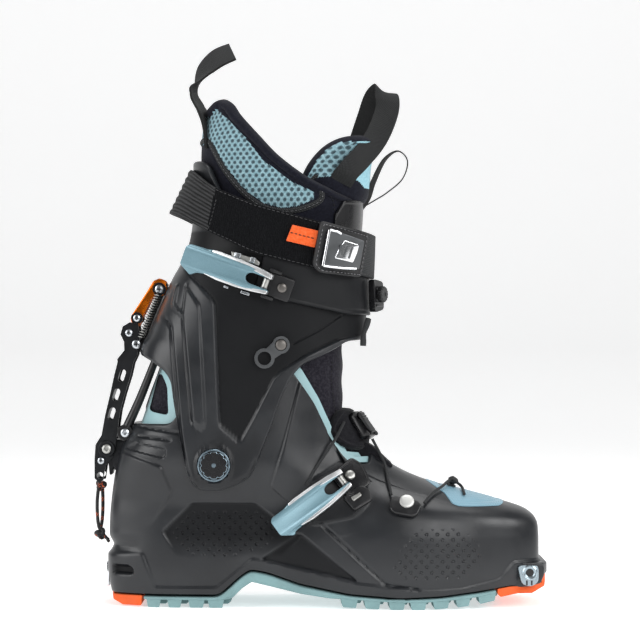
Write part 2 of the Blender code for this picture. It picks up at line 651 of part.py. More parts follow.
def build_cuff():
    cuff = tube_wall("cuff_shell", [r.points() for r in CUFF_RINGS],
                     [r.points(CUFF_WALL) for r in CUFF_RINGS], "shell_plastic")
    keep = [(-130, 158), (-112, 155.5), (-103, 151), (-95, 145), (-91.5, 139), (-90, 128), (-86.5, 108),
            (-82.5, 87.5), (-79.5, 77.5), (-74, 73), (-62, 72.5), (-50, 76.5), (-42.6, 80.8), (-38.4, 89.9),
            (-30.5, 110), (-24.4, 128), (-17.7, 142), (-11, 149.5), (0, 154.5), (11, 160), (17, 164), (45, 166),
            (45, 212), (26, 213.5), (-10, 222), (-45, 236), (-56, 244), (-63, 258), (-70, 273), (-76, 276),
            (-90, 275), (-130, 270)]
    combine(cuff, side_plate("cuff_outline", keep, -70, 70), "INTERSECT")
    for side, name in ((LATERAL, "lateral"), (MEDIAL, "medial")):
        near, far = sorted((side * 20, side * 60))
        combine(cuff, side_plate("cuff_bore_" + name, circle(7.4, 20, (PIVOT_X, PIVOT_Z)), near, far))


def build_cuff_band():
    """The overlap at the top front of the cuff, drawn round it by the upper buckle."""
    span = [math.radians(a) for a in np.linspace(97, -84, 19)]
    band = tube_wall("cuff_band", levels_of(CUFF_RINGS, 3.2, 7.2, -2.6, span, 5),
                     levels_of(CUFF_RINGS, 3.2, 7.2, -GAP, span, 5), "shell_plastic", closed=False)
    keep = [(-45, 196), (-34, 191.6), (15, 180.6), (45, 179), (45, 203.5), (34, 204.0), (10, 207.0), (-12, 212),
            (-45, 222)]
    combine(band, side_plate("band_outline", keep, -70, 70), "INTERSECT")


def pivot_placing(side, y):
    """Local Z out of the boot at the cuff's axis."""
    turn = Matrix.Rotation(math.radians(90 if side == LATERAL else -90), 4, "X")
    return Matrix.Translation((PIVOT_X, side * y, PIVOT_Z)) @ turn


def build_pivots():
    for side, name in ((LATERAL, "lateral"), (MEDIAL, "medial")):
        stud("pivot_bush_" + name, 6.9, -8.5, 0.3, pivot_placing(side, ARM_OUTER), "black_plastic")
        turned("pivot_ring_" + name, [(12.6, 0.4), (11.2, 2.4), (9.6, 2.6), (7.6, 2.2), (7.6, 0.4)],
               pivot_placing(side, ARM_OUTER), "lever_blue")


# ---------------------------------------------------------------- buckles

UPPER_HINGE = (-33.0, 199.8)
LOWER_HINGE = (12.4, 75.0)
UPPER_TURN = math.radians(-19.5)
LOWER_TURN = math.radians(34.0)


def span_frame(rings, hinge, end, lift, end_lift):
    """A placing at a lever's hinge: local X runs from the lever's free end to the hinge, local Z outwards."""
    start = wall_frame(rings, *hinge)
    stop = wall_frame(rings, *end)
    first = start.translation + start.col[2].to_3d() * lift
    last = stop.translation + Vector((0, -end_lift, 0))
    along = (first - last).normalized()
    out = start.col[2].to_3d() + Vector((0, -0.6, 0))
    out = (out - along * out.dot(along)).normalized()
    frame = Matrix((along, out.cross(along), out)).transposed().to_4x4()
    frame.translation = first
    return frame


def bake(thing):
    """Applies an object's modifiers to its mesh."""
    evaluated = thing.evaluated_get(bpy.context.evaluated_depsgraph_get())
    mesh = bpy.data.meshes.new_from_object(evaluated)
    thing.modifiers.clear()
    thing.data = mesh
    return thing


def bend(thing, placing, reach, sag):
    """Curves a lever towards the boot: its free end drops by the sag."""
    bake(thing)
    back = placing.inverted()
    for vertex in thing.data.vertices:
        local = back @ (vertex.co / MM)
        share = min(0.0, local.x) / reach
        local.z -= sag * share * share
        vertex.co = (placing @ local) * MM


def build_lever(name, placing, reach, tab_drop, sag):
    """A buckle lever: a forked channel with a bent tab; local -X is its length, local Z its outside."""
    neck = 0.72 * reach
    outline = [(3.0, 6.0), (-6, 7.4), (-0.35 * reach, 8.2), (-0.62 * reach, 8.6), (-neck, 7.6), (-reach + 2, 7.0),
               (-reach, 5.0), (-reach, -3.5 - tab_drop), (-reach + 7, -8.0 - tab_drop),
               (-0.8 * reach, -6.6 - tab_drop / 2), (-neck, -7.4), (-0.55 * reach, -8.4), (-0.3 * reach, -8.2),
               (-6, -7.4), (3.0, -6.0), (3.0, -3.6), (-9.5, -3.4), (-12.5, -1.6), (-12.5, 1.6), (-9.5, 3.4),
               (3.0, 3.6)]
    lever = plate(name, outline, -2.0, 2.8, "lever_blue", placing)
    channel = [(-14.5, 5.4), (-0.66 * reach, 6.2), (-0.66 * reach, -6.0), (-14.5, -5.4)]
    combine(lever, plate(name + "_channel", channel, -4, 1.2, None, placing))
    under_tab = [(-0.74 * reach, 12), (-reach - 4, 12), (-reach - 4, -16), (-0.74 * reach, -16)]
    combine(lever, plate(name + "_tab", under_tab, -4, 0.9, None, placing))
    bend(lever, placing, reach, sag)
    return lever


def pin_across(name, placing, radius, half, material):
    """A pin along a placing's local Y."""
    across = placing @ Matrix.Rotation(math.radians(90), 4, "X")
    stud(name, radius, -half, half, across, material, 12)


def build_upper_buckle():
    rings = CUFF_RINGS
    base = wall_frame(rings, UPPER_HINGE[0] + 3, UPPER_HINGE[1] - 0.5, 2.8, UPPER_TURN)
    plate("upper_buckle_base", rounded([(-3.0, 6.8), (13.5, 6.8), (13.5, -7.4), (-3.0, -7.4)], 2), 0.2, 2.0,
          "black_steel", base, bevel=0.4)
    stud("upper_buckle_rivet", 2.9, 2.4, 3.6, base @ Matrix.Translation((7.4, 0, 0)), "black_steel")
    hinge = span_frame(rings, UPPER_HINGE, (-80, 216.5), 8.5, 20.0)
    build_lever("upper_buckle_lever", hinge, 53.0, 3.0, 2.0)
    pin_across("upper_buckle_pin", hinge, 1.6, 3.1, "steel")
    span = [math.radians(a) for a in np.linspace(121, 101, 5)]
    tube_wall("upper_buckle_ladder", levels_of(rings, 3.85, 5.4, -1.6, span, 3),
              levels_of(rings, 3.85, 5.4, -GAP, span, 3), "black_steel", closed=False)
    return hinge


def build_lower_buckle():
    rings = SHELL_RINGS
    base = wall_frame(rings, 18, 77.5, 1.5, LOWER_TURN)
    plate("lower_buckle_base", rounded([(-9, 9.5), (11, 11.5), (13.5, 3), (9, -9.5), (-9, -9.5)], 3), 0.2, 2.2,
          "black_plastic", base, bevel=0.4)
    hinge = span_frame(rings, LOWER_HINGE, (-27, 49), 9.6, 9.0)
    build_lever("lower_buckle_lever", hinge, 50.0, 1.5, 3.0)
    pin_across("lower_buckle_pin", hinge, 1.6, 3.1, "steel")
    return hinge


# ---------------------------------------------------------------- power strap and tongue

def clipped(thing, name, keep):
    """Keeps the part of a piece that lies inside a side-view outline."""
    return combine(thing, side_plate(name, keep, -75, 75), "INTERSECT")


def build_power_strap():
    tube_wall("power_strap", [r.points() for r in STRAP_RINGS], [r.points(2.4) for r in STRAP_RINGS], "webbing")
    frame = wall_frame(STRAP_RINGS, 11.0, 219.5, 0.5, math.radians(-9))
    plate("strap_buckle", rounded([(-14, 15.5), (14, 13.5), (14, -12.5), (-10, -14.5), (-14, -11)], 3), 0.2, 3.0,
          "black_plastic", frame, bevel=0.5)
    cam = frame @ Matrix.Translation((-9.0, 0, 4.9))
    cam_outline = [(0, 10.5), (4, 11.0), (9, 6.2), (18, 6.0), (19, -5.2), (9, -6.2), (4, -10.5), (0, -10.5)]
    plate("strap_cam", cam_outline, -1.2, 1.0, "chrome", cam, bevel=0.3)
    tab = wall_frame(STRAP_RINGS, -12.5, 222.8, 0.5, math.radians(-13))
    plate("strap_pull_tab", rounded([(-7.0, 6.0), (6.5, 5.4), (6.5, -5.6), (-6.4, -6.0)], 1), 0.2, 1.8,
          "orange_fabric", tab)
    spoiler_arc = arc(math.radians(48), 9)
    spoiler = tube_wall("tongue_spoiler", levels_of(CUFF_RINGS, 5.6, 8.9, CUFF_WALL + GAP, spoiler_arc, 5),
                        levels_of(CUFF_RINGS, 5.6, 8.9, CUFF_WALL + GAP + 1.6, arc(math.radians(48), 9), 5),
                        "black_plastic", closed=False)
    clipped(spoiler, "spoiler_outline", [(4, 215), (4, 234), (14, 251), (40, 252), (40, 215)])
    return cam


def ribbon(name, route, width, thickness, material, count=22):
    """A webbing strip: route holds (centre, width direction) pairs."""
    centres = smooth_path([Vector(c) for c, _ in route], count)
    guide = np.linspace(0, len(route) - 1, count)
    rows = []
    for k, (centre, place) in enumerate(zip(centres, guide)):
        low = min(int(place), len(route) - 2)
        across = Vector(route[low][1]).lerp(Vector(route[low + 1][1]), place - low)
        ahead = centres[min(k + 1, count - 1)] - centres[max(k - 1, 0)]
        across = (across - ahead * across.dot(ahead) / ahead.length_squared).normalized()
        out = ahead.cross(across).normalized()
        rows.append([centre + across * width / 2 * a + out * thickness / 2 * b
                     for a, b in ((-1, -1), (1, -1), (1, 1), (-1, 1))])
    bm, verts = grid_loft(rows, closed_rows=True)
    bm.faces.new(verts[0])
    bm.faces.new(verts[-1])
    return adopt(name, mesh_of(bm, name), material)


REAR_LOOP = [((-77.6, -2, 287), (0.1, 1, 0)), ((-78.2, -2, 301), (0.1, 1, 0)), ((-80.5, -1, 318), (0.25, 0.9, 0.3)),
             ((-75.0, 0, 333), (-0.3, 0.75, 0.6)), ((-66, 0, 343), (-0.45, 0.55, 0.7)),
             ((-55.5, 0, 349.5), (-0.3, 0.5, 0.85))]
FRONT_LOOP = [((27.5, -13, 277), (0.75, -0.55, -0.3)), ((33.0, -10, 289), (0.8, -0.55, -0.2)),
              ((38.5, -6, 304), (0.8, -0.6, 0)), ((41.5, -1, 317), (0.6, -0.75, 0.25)),
              ((36.5, 6, 325.5), (0.3, -0.9, 0.3)),
              ((30.5, 10, 315), (0.2, -1, -0.1)), ((27.5, 12, 298), (0.2, -1, -0.1)), ((27.0, 13, 283), (0.2, -1, -0.1))]
TAPE_LOOP = [((31.0, -6, 254.0), (0, 1, 0)), ((33.5, -6, 266), (0, 1, 0)), ((41.5, -5, 278), (0, 1, 0)),
             ((50.0, -4, 283), (0, 1, 0)), ((55.0, -2, 277), (0, 1, 0)), ((52.0, 0, 266), (0, 1, 0)),
             ((42.5, 3, 257.5), (0, 1, 0)), ((35.0, 5, 254.0), (0, 1, 0))]


def build_loops():
    ribbon("rear_pull_loop", REAR_LOOP, 20, 2.2, "webbing")
    ribbon("front_pull_loop", FRONT_LOOP, 15, 1.4, "webbing", 30)
    ribbon("tongue_tape_loop", TAPE_LOOP, 4.5, 1.0, "webbing", 26)


# ---------------------------------------------------------------- cuff tensioner, hook ring, instep lacing

def build_cuff_tensioner():
    """The small ratchet at the front of the cuff band, with its turning knob and pull."""
    front = Matrix.Translation((31.9, -14.0, 191.5)) @ Matrix.Rotation(math.radians(64), 4, "Z") @ side_view()
    body = rounded([(-7.5, 11.0), (6.0, 9.5), (7.5, -8.0), (-6.0, -10.0)], 3)
    plate("cuff_tensioner", body, 1.4, 5.6, "black_plastic", front, bevel=0.7)
    stud("tensioner_knob", 4.6, 6.0, 9.4, front @ Matrix.Translation((0.5, 1.5, 0)), "black_plastic")
    pull = [(30.0, -27.5, 178.0), (28.6, -28.5, 173), (27.0, -29, 168), (26.6, -29, 161)]
    rod("tensioner_pull", pull, 1.7, "webbing", 8, smooth=8)
    return front @ Matrix.Translation((0.5, 1.5, 0))


def build_hook_ring():
    """The swivelling lace ring riveted to the cuff."""
    placing = wall_frame(CUFF_RINGS, -23.8, 161.8, 0.8)
    stud("hook_ring_rivet", 3.2, 0.0, 3.4, placing, "steel")
    angle = math.radians(-141)
    ring = placing @ Matrix.Rotation(angle, 4, "Z")
    outline = circle(6.2, 18, (13.0, 0), -2.45, 4.9) + circle(5.4, 12, (0, 0), math.radians(55), math.radians(250))
    holes = [circle(4.2, 16, (13.0, 0)), circle(3.7, 14)]
    plate("hook_ring", outline, 0.4, 1.9, "black_steel", ring, holes=holes)
    return placing


def build_lacing():
    """The instep tensioner, its laces, guide and hook."""
    seat = Matrix.Translation((24.2, -10.5, 109.0)) @ Matrix.Rotation(math.radians(-26), 4, "Z") \
        @ Matrix.Rotation(math.radians(52), 4, "Y")
    outline = rounded([(-10, 6), (9, 7.5), (9, -7.5), (-10, -6)], 3)
    plate("instep_tensioner", outline, 0.6, 5.2, "black_plastic", seat, bevel=0.8)
    lever = rounded([(-8, 3.6), (7.5, 3.6), (7.5, -3.6), (-8, -3.6)], 2)
    plate("instep_tensioner_lever", lever, 5.7, 8.2, "black_plastic", seat, bevel=0.5)
    guide = wall_frame(SHELL_RINGS, 52.0, 62.5, 1.2, math.radians(-14))
    plate("cable_guide", rounded([(-8.0, -5.6), (8.0, -5.6), (10.0, 3.4), (-10.0, 3.8)], 2.5), 0.2, 3.0,
          "black_plastic", guide, bevel=0.5)
    hook = wall_frame(SHELL_RINGS, 85.0, 76.0 - 3.6, 1.0)
    plate("vamp_hook", circle(3.2, 16), 0.2, 3.4, "black_steel", hook)
    return seat


def along_shell(route, lift):
    """Points just clear of the lateral side of the shell, from their places in side view."""
    return [wall_frame(SHELL_RINGS, x, z, lift).translation for x, z in route]


def build_laces():
    lace = 0.9
    front = [Vector((32.5, -14.5, 103.5))] + along_shell([(39.0, 86.5), (41.5, 77.0), (43.5, 68.5)], 2.2)
    rod("lace_front", front, lace, "cord_black", 8, smooth=12)
    vamp = along_shell([(63.5, 63.5), (69, 68.5), (76, 71.2)], 2.4) + [Vector((82.0, -13.5, 76.8))]
    rod("lace_vamp", vamp, lace, "cord_black", 8, smooth=10)
    rear = [Vector((15.0, -20.5, 113.5)), Vector((9.0, -33.0, 103))] + along_shell([(-3.0, 86.0), (-8.5, 76.0)], 2.6)
    rod("lace_rear", rear, lace, "cord_black", 8, smooth=14)


# ---------------------------------------------------------------- walk mechanism

LINK_TOP = (-100.6, 196.3)
LEVER_HINGE = (-119.4, 168.9)
HEEL_PIN = (-133.4, 96.4)
ROD_PIVOT = (-121.6, 107.2)
LEVER_EYE = (-137.6, 79.8)


def build_mechanism():
    mount = [(-99.2, 200.6), (-95.4, 199.4), (-106.7, 172.2), (-113.1, 156.8), (-116.0, 157.6), (-110.8, 166),
             (-109.2, 170), (-105.2, 181), (-102.9, 187.5), (-102.7, 194.5), (-102.2, 199)]
    side_plate("mechanism_mount", mount, -5.6, 5.6, "black_plastic", holes=[circle(1.9, 12, LINK_TOP)])
    link = rounded([(-96.9, 200.6), (-102.2, 202.4), (-108.5, 194), (-120.0, 178), (-118.6, 174), (-114.0, 171.8),
                    (-111.6, 175), (-109.4, 181), (-97.0, 192.5)], 2.5)
    walk_link = side_plate("walk_link", link, -8.0, 8.0, "orange_metal")
    inside = [(-90, 207), (-99.5, 207), (-106.6, 191.5), (-116.2, 178.0), (-116, 165), (-90, 165)]
    combine(walk_link, side_plate("link_channel", inside, -6.3, 6.3))
    bar = [(-113.6, 174.6), (-119.0, 175.6), (-123.4, 173), (-124.8, 168), (-122.6, 163.4), (-122.4, 158),
           (-126.8, 152.6), (-126.6, 150.8), (-128.6, 143), (-131.4, 130), (-134.4, 117.5), (-136.6, 105),
           (-140.4, 99), (-141.0, 90), (-141.0, 78), (-138.8, 75.8), (-135.6, 76.6), (-134.2, 86), (-129.6, 91.5),
           (-128.0, 98), (-126.6, 108), (-125.0, 120), (-122.0, 131), (-118.6, 142), (-116.8, 150), (-114.4, 155),
           (-113.6, 160.5), (-112.6, 167)]
    holes = [slot_outline((x, z), 8.2, 3.8, math.radians(72)) for x, z in
             ((-123.9, 142.2), (-127.5, 130.2), (-130.4, 118.4))]
    holes += [circle(2.1, 12, LEVER_EYE)]
    lever = side_plate("walk_lever", bar, -10.2, 10.2, "black_steel", holes=holes)
    channel = [(-100, 190), (-119.5, 185), (-124.6, 171), (-124.4, 164.4), (-120.2, 157.6), (-125.2, 148),
               (-129.6, 130), (-132.6, 116), (-134.8, 104.5), (-138.6, 98.5), (-139.3, 90), (-139.3, 70),
               (-118, 70), (-100, 110)]
    combine(lever, side_plate("lever_channel", channel, -8.5, 8.5))
    for name, place, radius in (("link_top_screw", LINK_TOP, 2.9), ("heel_pin_screw", HEEL_PIN, 3.1)):
        inner = 8.3 if name.startswith("link_top") else 10.5
        placing = Matrix.Translation((place[0], 0, place[1])) @ Matrix.Rotation(math.radians(90), 4, "X")
        stud(name, radius, inner, inner + 1.8, placing, "steel", 18)
    bracket = [(-133.6, 91), (-133.8, 97), (-131, 101.6), (-127.2, 102.6), (-125.4, 100.2), (-127.6, 92),
               (-128.8, 86), (-130.4, 80), (-131.8, 80), (-132.4, 86)]
    side_plate("heel_bracket", bracket, -7.4, 7.4, "black_plastic")
    rod_line = [(ROD_PIVOT[0], -15.0, ROD_PIVOT[1]), (-112.6, -15.0, 127.0), (-104.6, -15.0, 147.0)]
    rod("walk_rod", rod_line, 2.3, "black_plastic", 12)
    eye = Matrix.Translation((ROD_PIVOT[0] - 1.0, -18.2, ROD_PIVOT[1] - 3.0))
    eye = eye @ Matrix.Rotation(math.radians(90), 4, "X")
    stud("rod_screw", 2.9, -0.2, 1.8, eye, "steel", 18)


def build_spring():
    """A compression spring between the link's top and the lever."""
    top = Vector((-106.2, 0, 189.0))
    foot = Vector((-114.4, 0, 166.0))
    along = (foot - top).normalized()
    side = Vector((0, 1, 0))
    third = along.cross(side)
    turns, per_turn, radius = 10, 8, 1.7
    points = []
    for i in range(turns * per_turn + 1):
        share = i / (turns * per_turn)
        angle = 2 * math.pi * i / per_turn
        points.append(top.lerp(foot, share) + side * radius * math.cos(angle) + third * radius * math.sin(angle))
    rod("walk_spring", points, 0.45, "steel", 8)


# ---------------------------------------------------------------- pull cord

CORD_ROUTE = [(-138.6, -1.4, 74.6), (-139.4, -1.8, 70.5), (-140.0, -2.4, 64), (-140.0, -2.6, 57), (-139.6, -2.6, 51),
              (-139.0, -1.8, 47.0), (-138.4, 0.2, 45.8), (-138.0, 2.2, 47.0), (-137.4, 2.8, 51), (-137.0, 2.6, 57),
              (-136.9, 2.2, 65), (-137.2, 1.6, 74.6)]


def build_cord():
    rod("pull_cord", CORD_ROUTE, 1.1, "cord_black", 8, smooth=34)
    knot = Matrix.Translation((-138.4, 0.2, 40.8)) @ Matrix.Rotation(math.radians(-12), 4, "Y")
    stud("pull_cord_knot", 2.6, -3.2, 3.2, knot, "cord_black", 12)


build_lower_shell()
build_collar()
build_liner()
build_pad()
build_outsole()
build_bumpers_and_inserts()
build_vamp()
build_cuff()
build_cuff_band()
build_pivots()
build_upper_buckle()
build_lower_buckle()
build_power_strap()
build_loops()
build_cuff_tensioner()
build_hook_ring()
build_lacing()
build_laces()
build_mechanism()
build_spring()
build_cord()
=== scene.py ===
"""The looks of the alpine touring boot: fine surfaces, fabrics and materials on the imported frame.

Everything is in the frame's own axes: +X to the toe, -Y to the lateral side, +Z up.
The helpers take millimetres and write metres.
"""
import json
import math

import bmesh
import bpy
import numpy as np
from mathutils import Matrix, Vector


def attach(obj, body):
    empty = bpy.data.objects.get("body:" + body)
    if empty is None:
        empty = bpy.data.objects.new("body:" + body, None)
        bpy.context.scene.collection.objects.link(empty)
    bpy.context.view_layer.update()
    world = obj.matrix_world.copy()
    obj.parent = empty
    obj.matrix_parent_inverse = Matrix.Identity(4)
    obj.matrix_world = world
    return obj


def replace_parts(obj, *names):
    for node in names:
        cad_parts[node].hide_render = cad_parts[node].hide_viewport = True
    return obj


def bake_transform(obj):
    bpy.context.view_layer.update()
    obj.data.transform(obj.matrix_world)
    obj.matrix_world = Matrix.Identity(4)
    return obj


MM = 0.001
LATERAL, MEDIAL = -1, 1
SIDES = ((LATERAL, "lateral"), (MEDIAL, "medial"))
PIVOT_X, PIVOT_Z = -64.8, 88.3
ARM_OUTER = 46.3

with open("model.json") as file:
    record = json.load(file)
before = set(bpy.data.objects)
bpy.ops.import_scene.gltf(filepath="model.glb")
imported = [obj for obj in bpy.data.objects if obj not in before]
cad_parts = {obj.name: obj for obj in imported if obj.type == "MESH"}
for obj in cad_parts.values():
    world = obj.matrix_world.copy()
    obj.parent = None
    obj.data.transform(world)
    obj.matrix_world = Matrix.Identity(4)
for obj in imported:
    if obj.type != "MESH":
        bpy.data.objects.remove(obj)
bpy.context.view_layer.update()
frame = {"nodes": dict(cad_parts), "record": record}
nodes = frame["nodes"]


# ---------------------------------------------------------------- camera, floor and light

def build_stage():
    """The camera level with the boot's middle, a pale floor and soft studio light."""
    camera = bpy.data.objects.new("camera", bpy.data.cameras.new("camera"))
    bpy.context.scene.collection.objects.link(camera)
    away, height, lens = 1.5, 0.177, 134.0
    camera.location = (0.0, -away, height)
    camera.rotation_euler = (math.radians(90), 0, 0)
    camera.data.lens = lens
    camera.data.sensor_width = 36.0
    bpy.context.scene.camera = camera
    white = Paint("backdrop_white", (0.85, 0.85, 0.85), 0.9)
    white.set("Emission Color", (1, 1, 1, 1))
    white.set("Emission Strength", 0.5)
    sweep = bpy.data.meshes.new("floor")
    half, back, rise = 6.0, 3.0, 4.0
    profile = [(-0.75, 0.0), (back - 0.8, 0.0), (back - 0.3, 0.12), (back - 0.06, 0.45), (back, 0.9),
               (back, rise)]
    corners = [(x, y, z) for y, z in profile for x in (-half, half)]
    sweep.from_pydata(corners, [], [(2 * k, 2 * k + 1, 2 * k + 3, 2 * k + 2) for k in range(len(profile) - 1)])
    sweep.materials.append(white.material)
    sweep.shade_smooth()
    floor = bpy.data.objects.new("floor", sweep)
    bpy.context.scene.collection.objects.link(floor)
    world = bpy.data.worlds.new("studio")
    world.use_nodes = True
    world.node_tree.nodes["Background"].inputs["Color"].default_value = (0.97, 0.985, 1.0, 1)
    world.node_tree.nodes["Background"].inputs["Strength"].default_value = 0.13
    bpy.context.scene.world = world
    bpy.context.scene.view_settings.view_transform = "Standard"
    lights = [("key", (-1.2, -0.7, 0.6), 1.0, 13), ("fill", (1.15, -0.6, 0.85), 0.7, 10),
              ("front", (0.6, -1.5, 0.65), 0.7, 9), ("top", (0.15, 0.1, 1.4), 0.9, 10)]
    aim = Vector((0, 0, 0.15))
    for name, place, size, power in lights:
        lamp = bpy.data.lights.new(name, "AREA")
        lamp.shape = "SQUARE"
        lamp.size = size
        lamp.energy = power
        thing = bpy.data.objects.new(name, lamp)
        thing.location = place
        thing.rotation_euler = (Vector(place) - aim).to_track_quat("Z", "Y").to_euler()
        bpy.context.scene.collection.objects.link(thing)


# ---------------------------------------------------------------- materials

class Paint:
    """A Principled material whose nodes are added step by step."""

    def __init__(self, name, color, roughness, metallic=0.0, **values):
        self.material = bpy.data.materials.new(name)
        self.material.use_nodes = True
        self.tree = self.material.node_tree
        self.shader = self.tree.nodes["Principled BSDF"]
        self.set("Base Color", (*color, 1.0))
        self.set("Roughness", roughness)
        self.set("Metallic", metallic)
        for key, value in values.items():
            self.set(key.replace("_", " "), value)
        self.height = None

    def set(self, socket, value):
        self.shader.inputs[socket].default_value = value

    def node(self, kind, **settings):
        made = self.tree.nodes.new(kind)
        for key, value in settings.items():
            setattr(made, key, value)
        return made

    def feed(self, socket, value):
        if isinstance(value, bpy.types.NodeSocket):
            self.tree.links.new(value, socket)
        else:
            socket.default_value = value

    def drive(self, socket, value):
        """Feeds one of the shader's inputs."""
        self.feed(self.shader.inputs[socket], value)

    def place(self):
        """The surface's own coordinates, in metres, which move with it."""
        return self.node("ShaderNodeTexCoord").outputs["Object"]

    def uv(self):
        """The surface's coordinates along its rows, in millimetres."""
        return self.node("ShaderNodeUVMap", uv_map="run").outputs["UV"]

    def attribute(self, name):
        return self.node("ShaderNodeAttribute", attribute_name=name).outputs["Fac"]

    def math(self, operation, a, b=0.0, c=0.0):
        made = self.node("ShaderNodeMath", operation=operation)
        for socket, value in zip(made.inputs, (a, b, c)):
            self.feed(socket, value)
        return made.outputs[0]

    def vector(self, operation, a, b=(0, 0, 0), c=(0, 0, 0)):
        made = self.node("ShaderNodeVectorMath", operation=operation)
        for socket, value in zip(made.inputs, (a, b, c)):
            self.feed(socket, value)
        return made.outputs["Value"] if operation == "LENGTH" else made.outputs["Vector"]

    def axis(self, vector, index):
        made = self.node("ShaderNodeSeparateXYZ")
        self.feed(made.inputs[0], vector)
        return made.outputs[index]

    def noise(self, scale, detail=3.0, roughness=0.55, vector=None):
        made = self.node("ShaderNodeTexNoise")
        self.feed(made.inputs["Vector"], vector or self.place())
        made.inputs["Scale"].default_value = scale
        made.inputs["Detail"].default_value = detail
        made.inputs["Roughness"].default_value = roughness
        return made.outputs["Fac"]

    def ramp(self, value, low, high, start=0.0, stop=1.0, smooth=True):
        """Maps low..high to start..stop."""
        made = self.node("ShaderNodeMapRange")
        made.interpolation_type = "SMOOTHSTEP" if smooth else "LINEAR"
        self.feed(made.inputs["Value"], value)
        for socket, number in zip(made.inputs[1:5], (low, high, start, stop)):
            socket.default_value = number
        return made.outputs["Result"]

    def mix(self, share, first, second):
        made = self.node("ShaderNodeMix", data_type="RGBA")
        self.feed(made.inputs["Factor"], share)
        for socket, value in ((made.inputs[6], first), (made.inputs[7], second)):
            self.feed(socket, (*value, 1.0) if isinstance(value, tuple) else value)
        return made.outputs[2]

    def dots(self, vector, across, up):
        """The distance to the nearest point of a staggered grid."""
        half = (across / 2, up / 2, 0.0)
        low = tuple(-v for v in half)
        flat = self.vector("MULTIPLY", vector, (1, 1, 0))
        first = self.vector("WRAP", flat, half, low)
        second = self.vector("WRAP", self.vector("ADD", flat, half), half, low)
        return self.math("MINIMUM", self.vector("LENGTH", first), self.vector("LENGTH", second))

    def stripes(self, value, pitch):
        """A wave from 0 to 1 with that pitch."""
        turned = self.math("SINE", self.math("MULTIPLY", value, 2 * math.pi / pitch))
        return self.math("MULTIPLY_ADD", turned, 0.5, 0.5)

    def bump(self, height, distance, strength=1.0):
        """Adds relief; distances are in metres."""
        made = self.node("ShaderNodeBump")
        made.inputs["Strength"].default_value = strength
        made.inputs["Distance"].default_value = distance
        self.feed(made.inputs["Height"], height)
        if self.height:
            self.feed(made.inputs["Normal"], self.height)
        self.height = made.outputs["Normal"]
        self.drive("Normal", self.height)
        return self

    def worn(self, low, high, scale=60.0):
        """Roughness that wanders between two values."""
        self.drive("Roughness", self.ramp(self.noise(scale, 4), 0.3, 0.7, low, high))
        return self


def plastic(name, color, roughness, grain=0.00004, spread=0.08):
    """A moulded plastic with a fine grain."""
    paint = Paint(name, color, roughness)
    paint.worn(roughness - spread, roughness + spread)
    paint.bump(paint.noise(1500, 3), grain, 0.6)
    return paint.material


def metal(name, color, low, high, brushed=0.00003):
    """A metal with faint streaks."""
    paint = Paint(name, color, low, 1.0)
    paint.worn(low, high, 90)
    stretched = paint.vector("MULTIPLY", paint.place(), (1, 1, 8))
    paint.bump(paint.noise(500, 3, 0.6, stretched), brushed, 0.5)
    return paint.material


def side_coords(paint):
    """World X and Z as a flat vector in millimetres."""
    place = paint.place()
    combine = paint.node("ShaderNodeCombineXYZ")
    paint.feed(combine.inputs[0], paint.math("MULTIPLY", paint.axis(place, 0), 1000.0))
    paint.feed(combine.inputs[1], paint.math("MULTIPLY", paint.axis(place, 2), 1000.0))
    return combine.outputs[0]


def shell_paint():
    """Satin charcoal nylon: matte recessed panels, moulded dimples and a fine grain."""
    paint = Paint("shell_nylon", (0.012, 0.013, 0.015), 0.36, Specular_IOR_Level=0.42)
    panel = paint.attribute("panel")
    cloud = paint.noise(22, 3)
    satin = paint.mix(paint.ramp(cloud, 0.35, 0.65), (0.0095, 0.0105, 0.0125), (0.0145, 0.016, 0.0185))
    paint.drive("Base Color", paint.mix(panel, satin, (0.0035, 0.0038, 0.0047)))
    paint.drive("Specular IOR Level", paint.math("MULTIPLY_ADD", panel, -0.3, 0.46))
    gloss = paint.ramp(paint.noise(70, 5), 0.3, 0.7, 0.3, 0.4)
    paint.drive("Roughness", paint.math("MULTIPLY_ADD", panel, 0.16, gloss))
    paint.bump(paint.noise(1300, 3), 0.00005, 0.5)
    dimple = paint.dots(side_coords(paint), 6.5, 6.6)
    hole = paint.ramp(dimple, 0.35, 1.35, -1.0, 0.0)
    paint.bump(paint.math("MULTIPLY", hole, paint.attribute("dimple")), 0.0011, 1.0)
    return paint.material


def lever_paint():
    """Satin light blue paint on metal."""
    paint = Paint("lever_satin_blue", (0.165, 0.29, 0.345), 0.36, 0.3, Coat_Weight=0.15, Coat_Roughness=0.25)
    speck = paint.ramp(paint.noise(2600, 2), 0.4, 0.75)
    paint.drive("Base Color", paint.mix(speck, (0.155, 0.275, 0.325), (0.195, 0.32, 0.375)))
    paint.worn(0.28, 0.38, 80)
    paint.bump(paint.noise(1800, 2), 0.00003, 0.5)
    return paint.material


def rubber_paint(name, color):
    """Matte rubber with a mottled surface."""
    paint = Paint(name, color, 0.72)
    shade = paint.ramp(paint.noise(90, 5), 0.3, 0.7)
    darker = tuple(c * 0.86 for c in color)
    paint.drive("Base Color", paint.mix(shade, darker, color))
    paint.worn(0.62, 0.82, 120)
    paint.bump(paint.noise(900, 4), 0.00012, 0.6)
    return paint.material


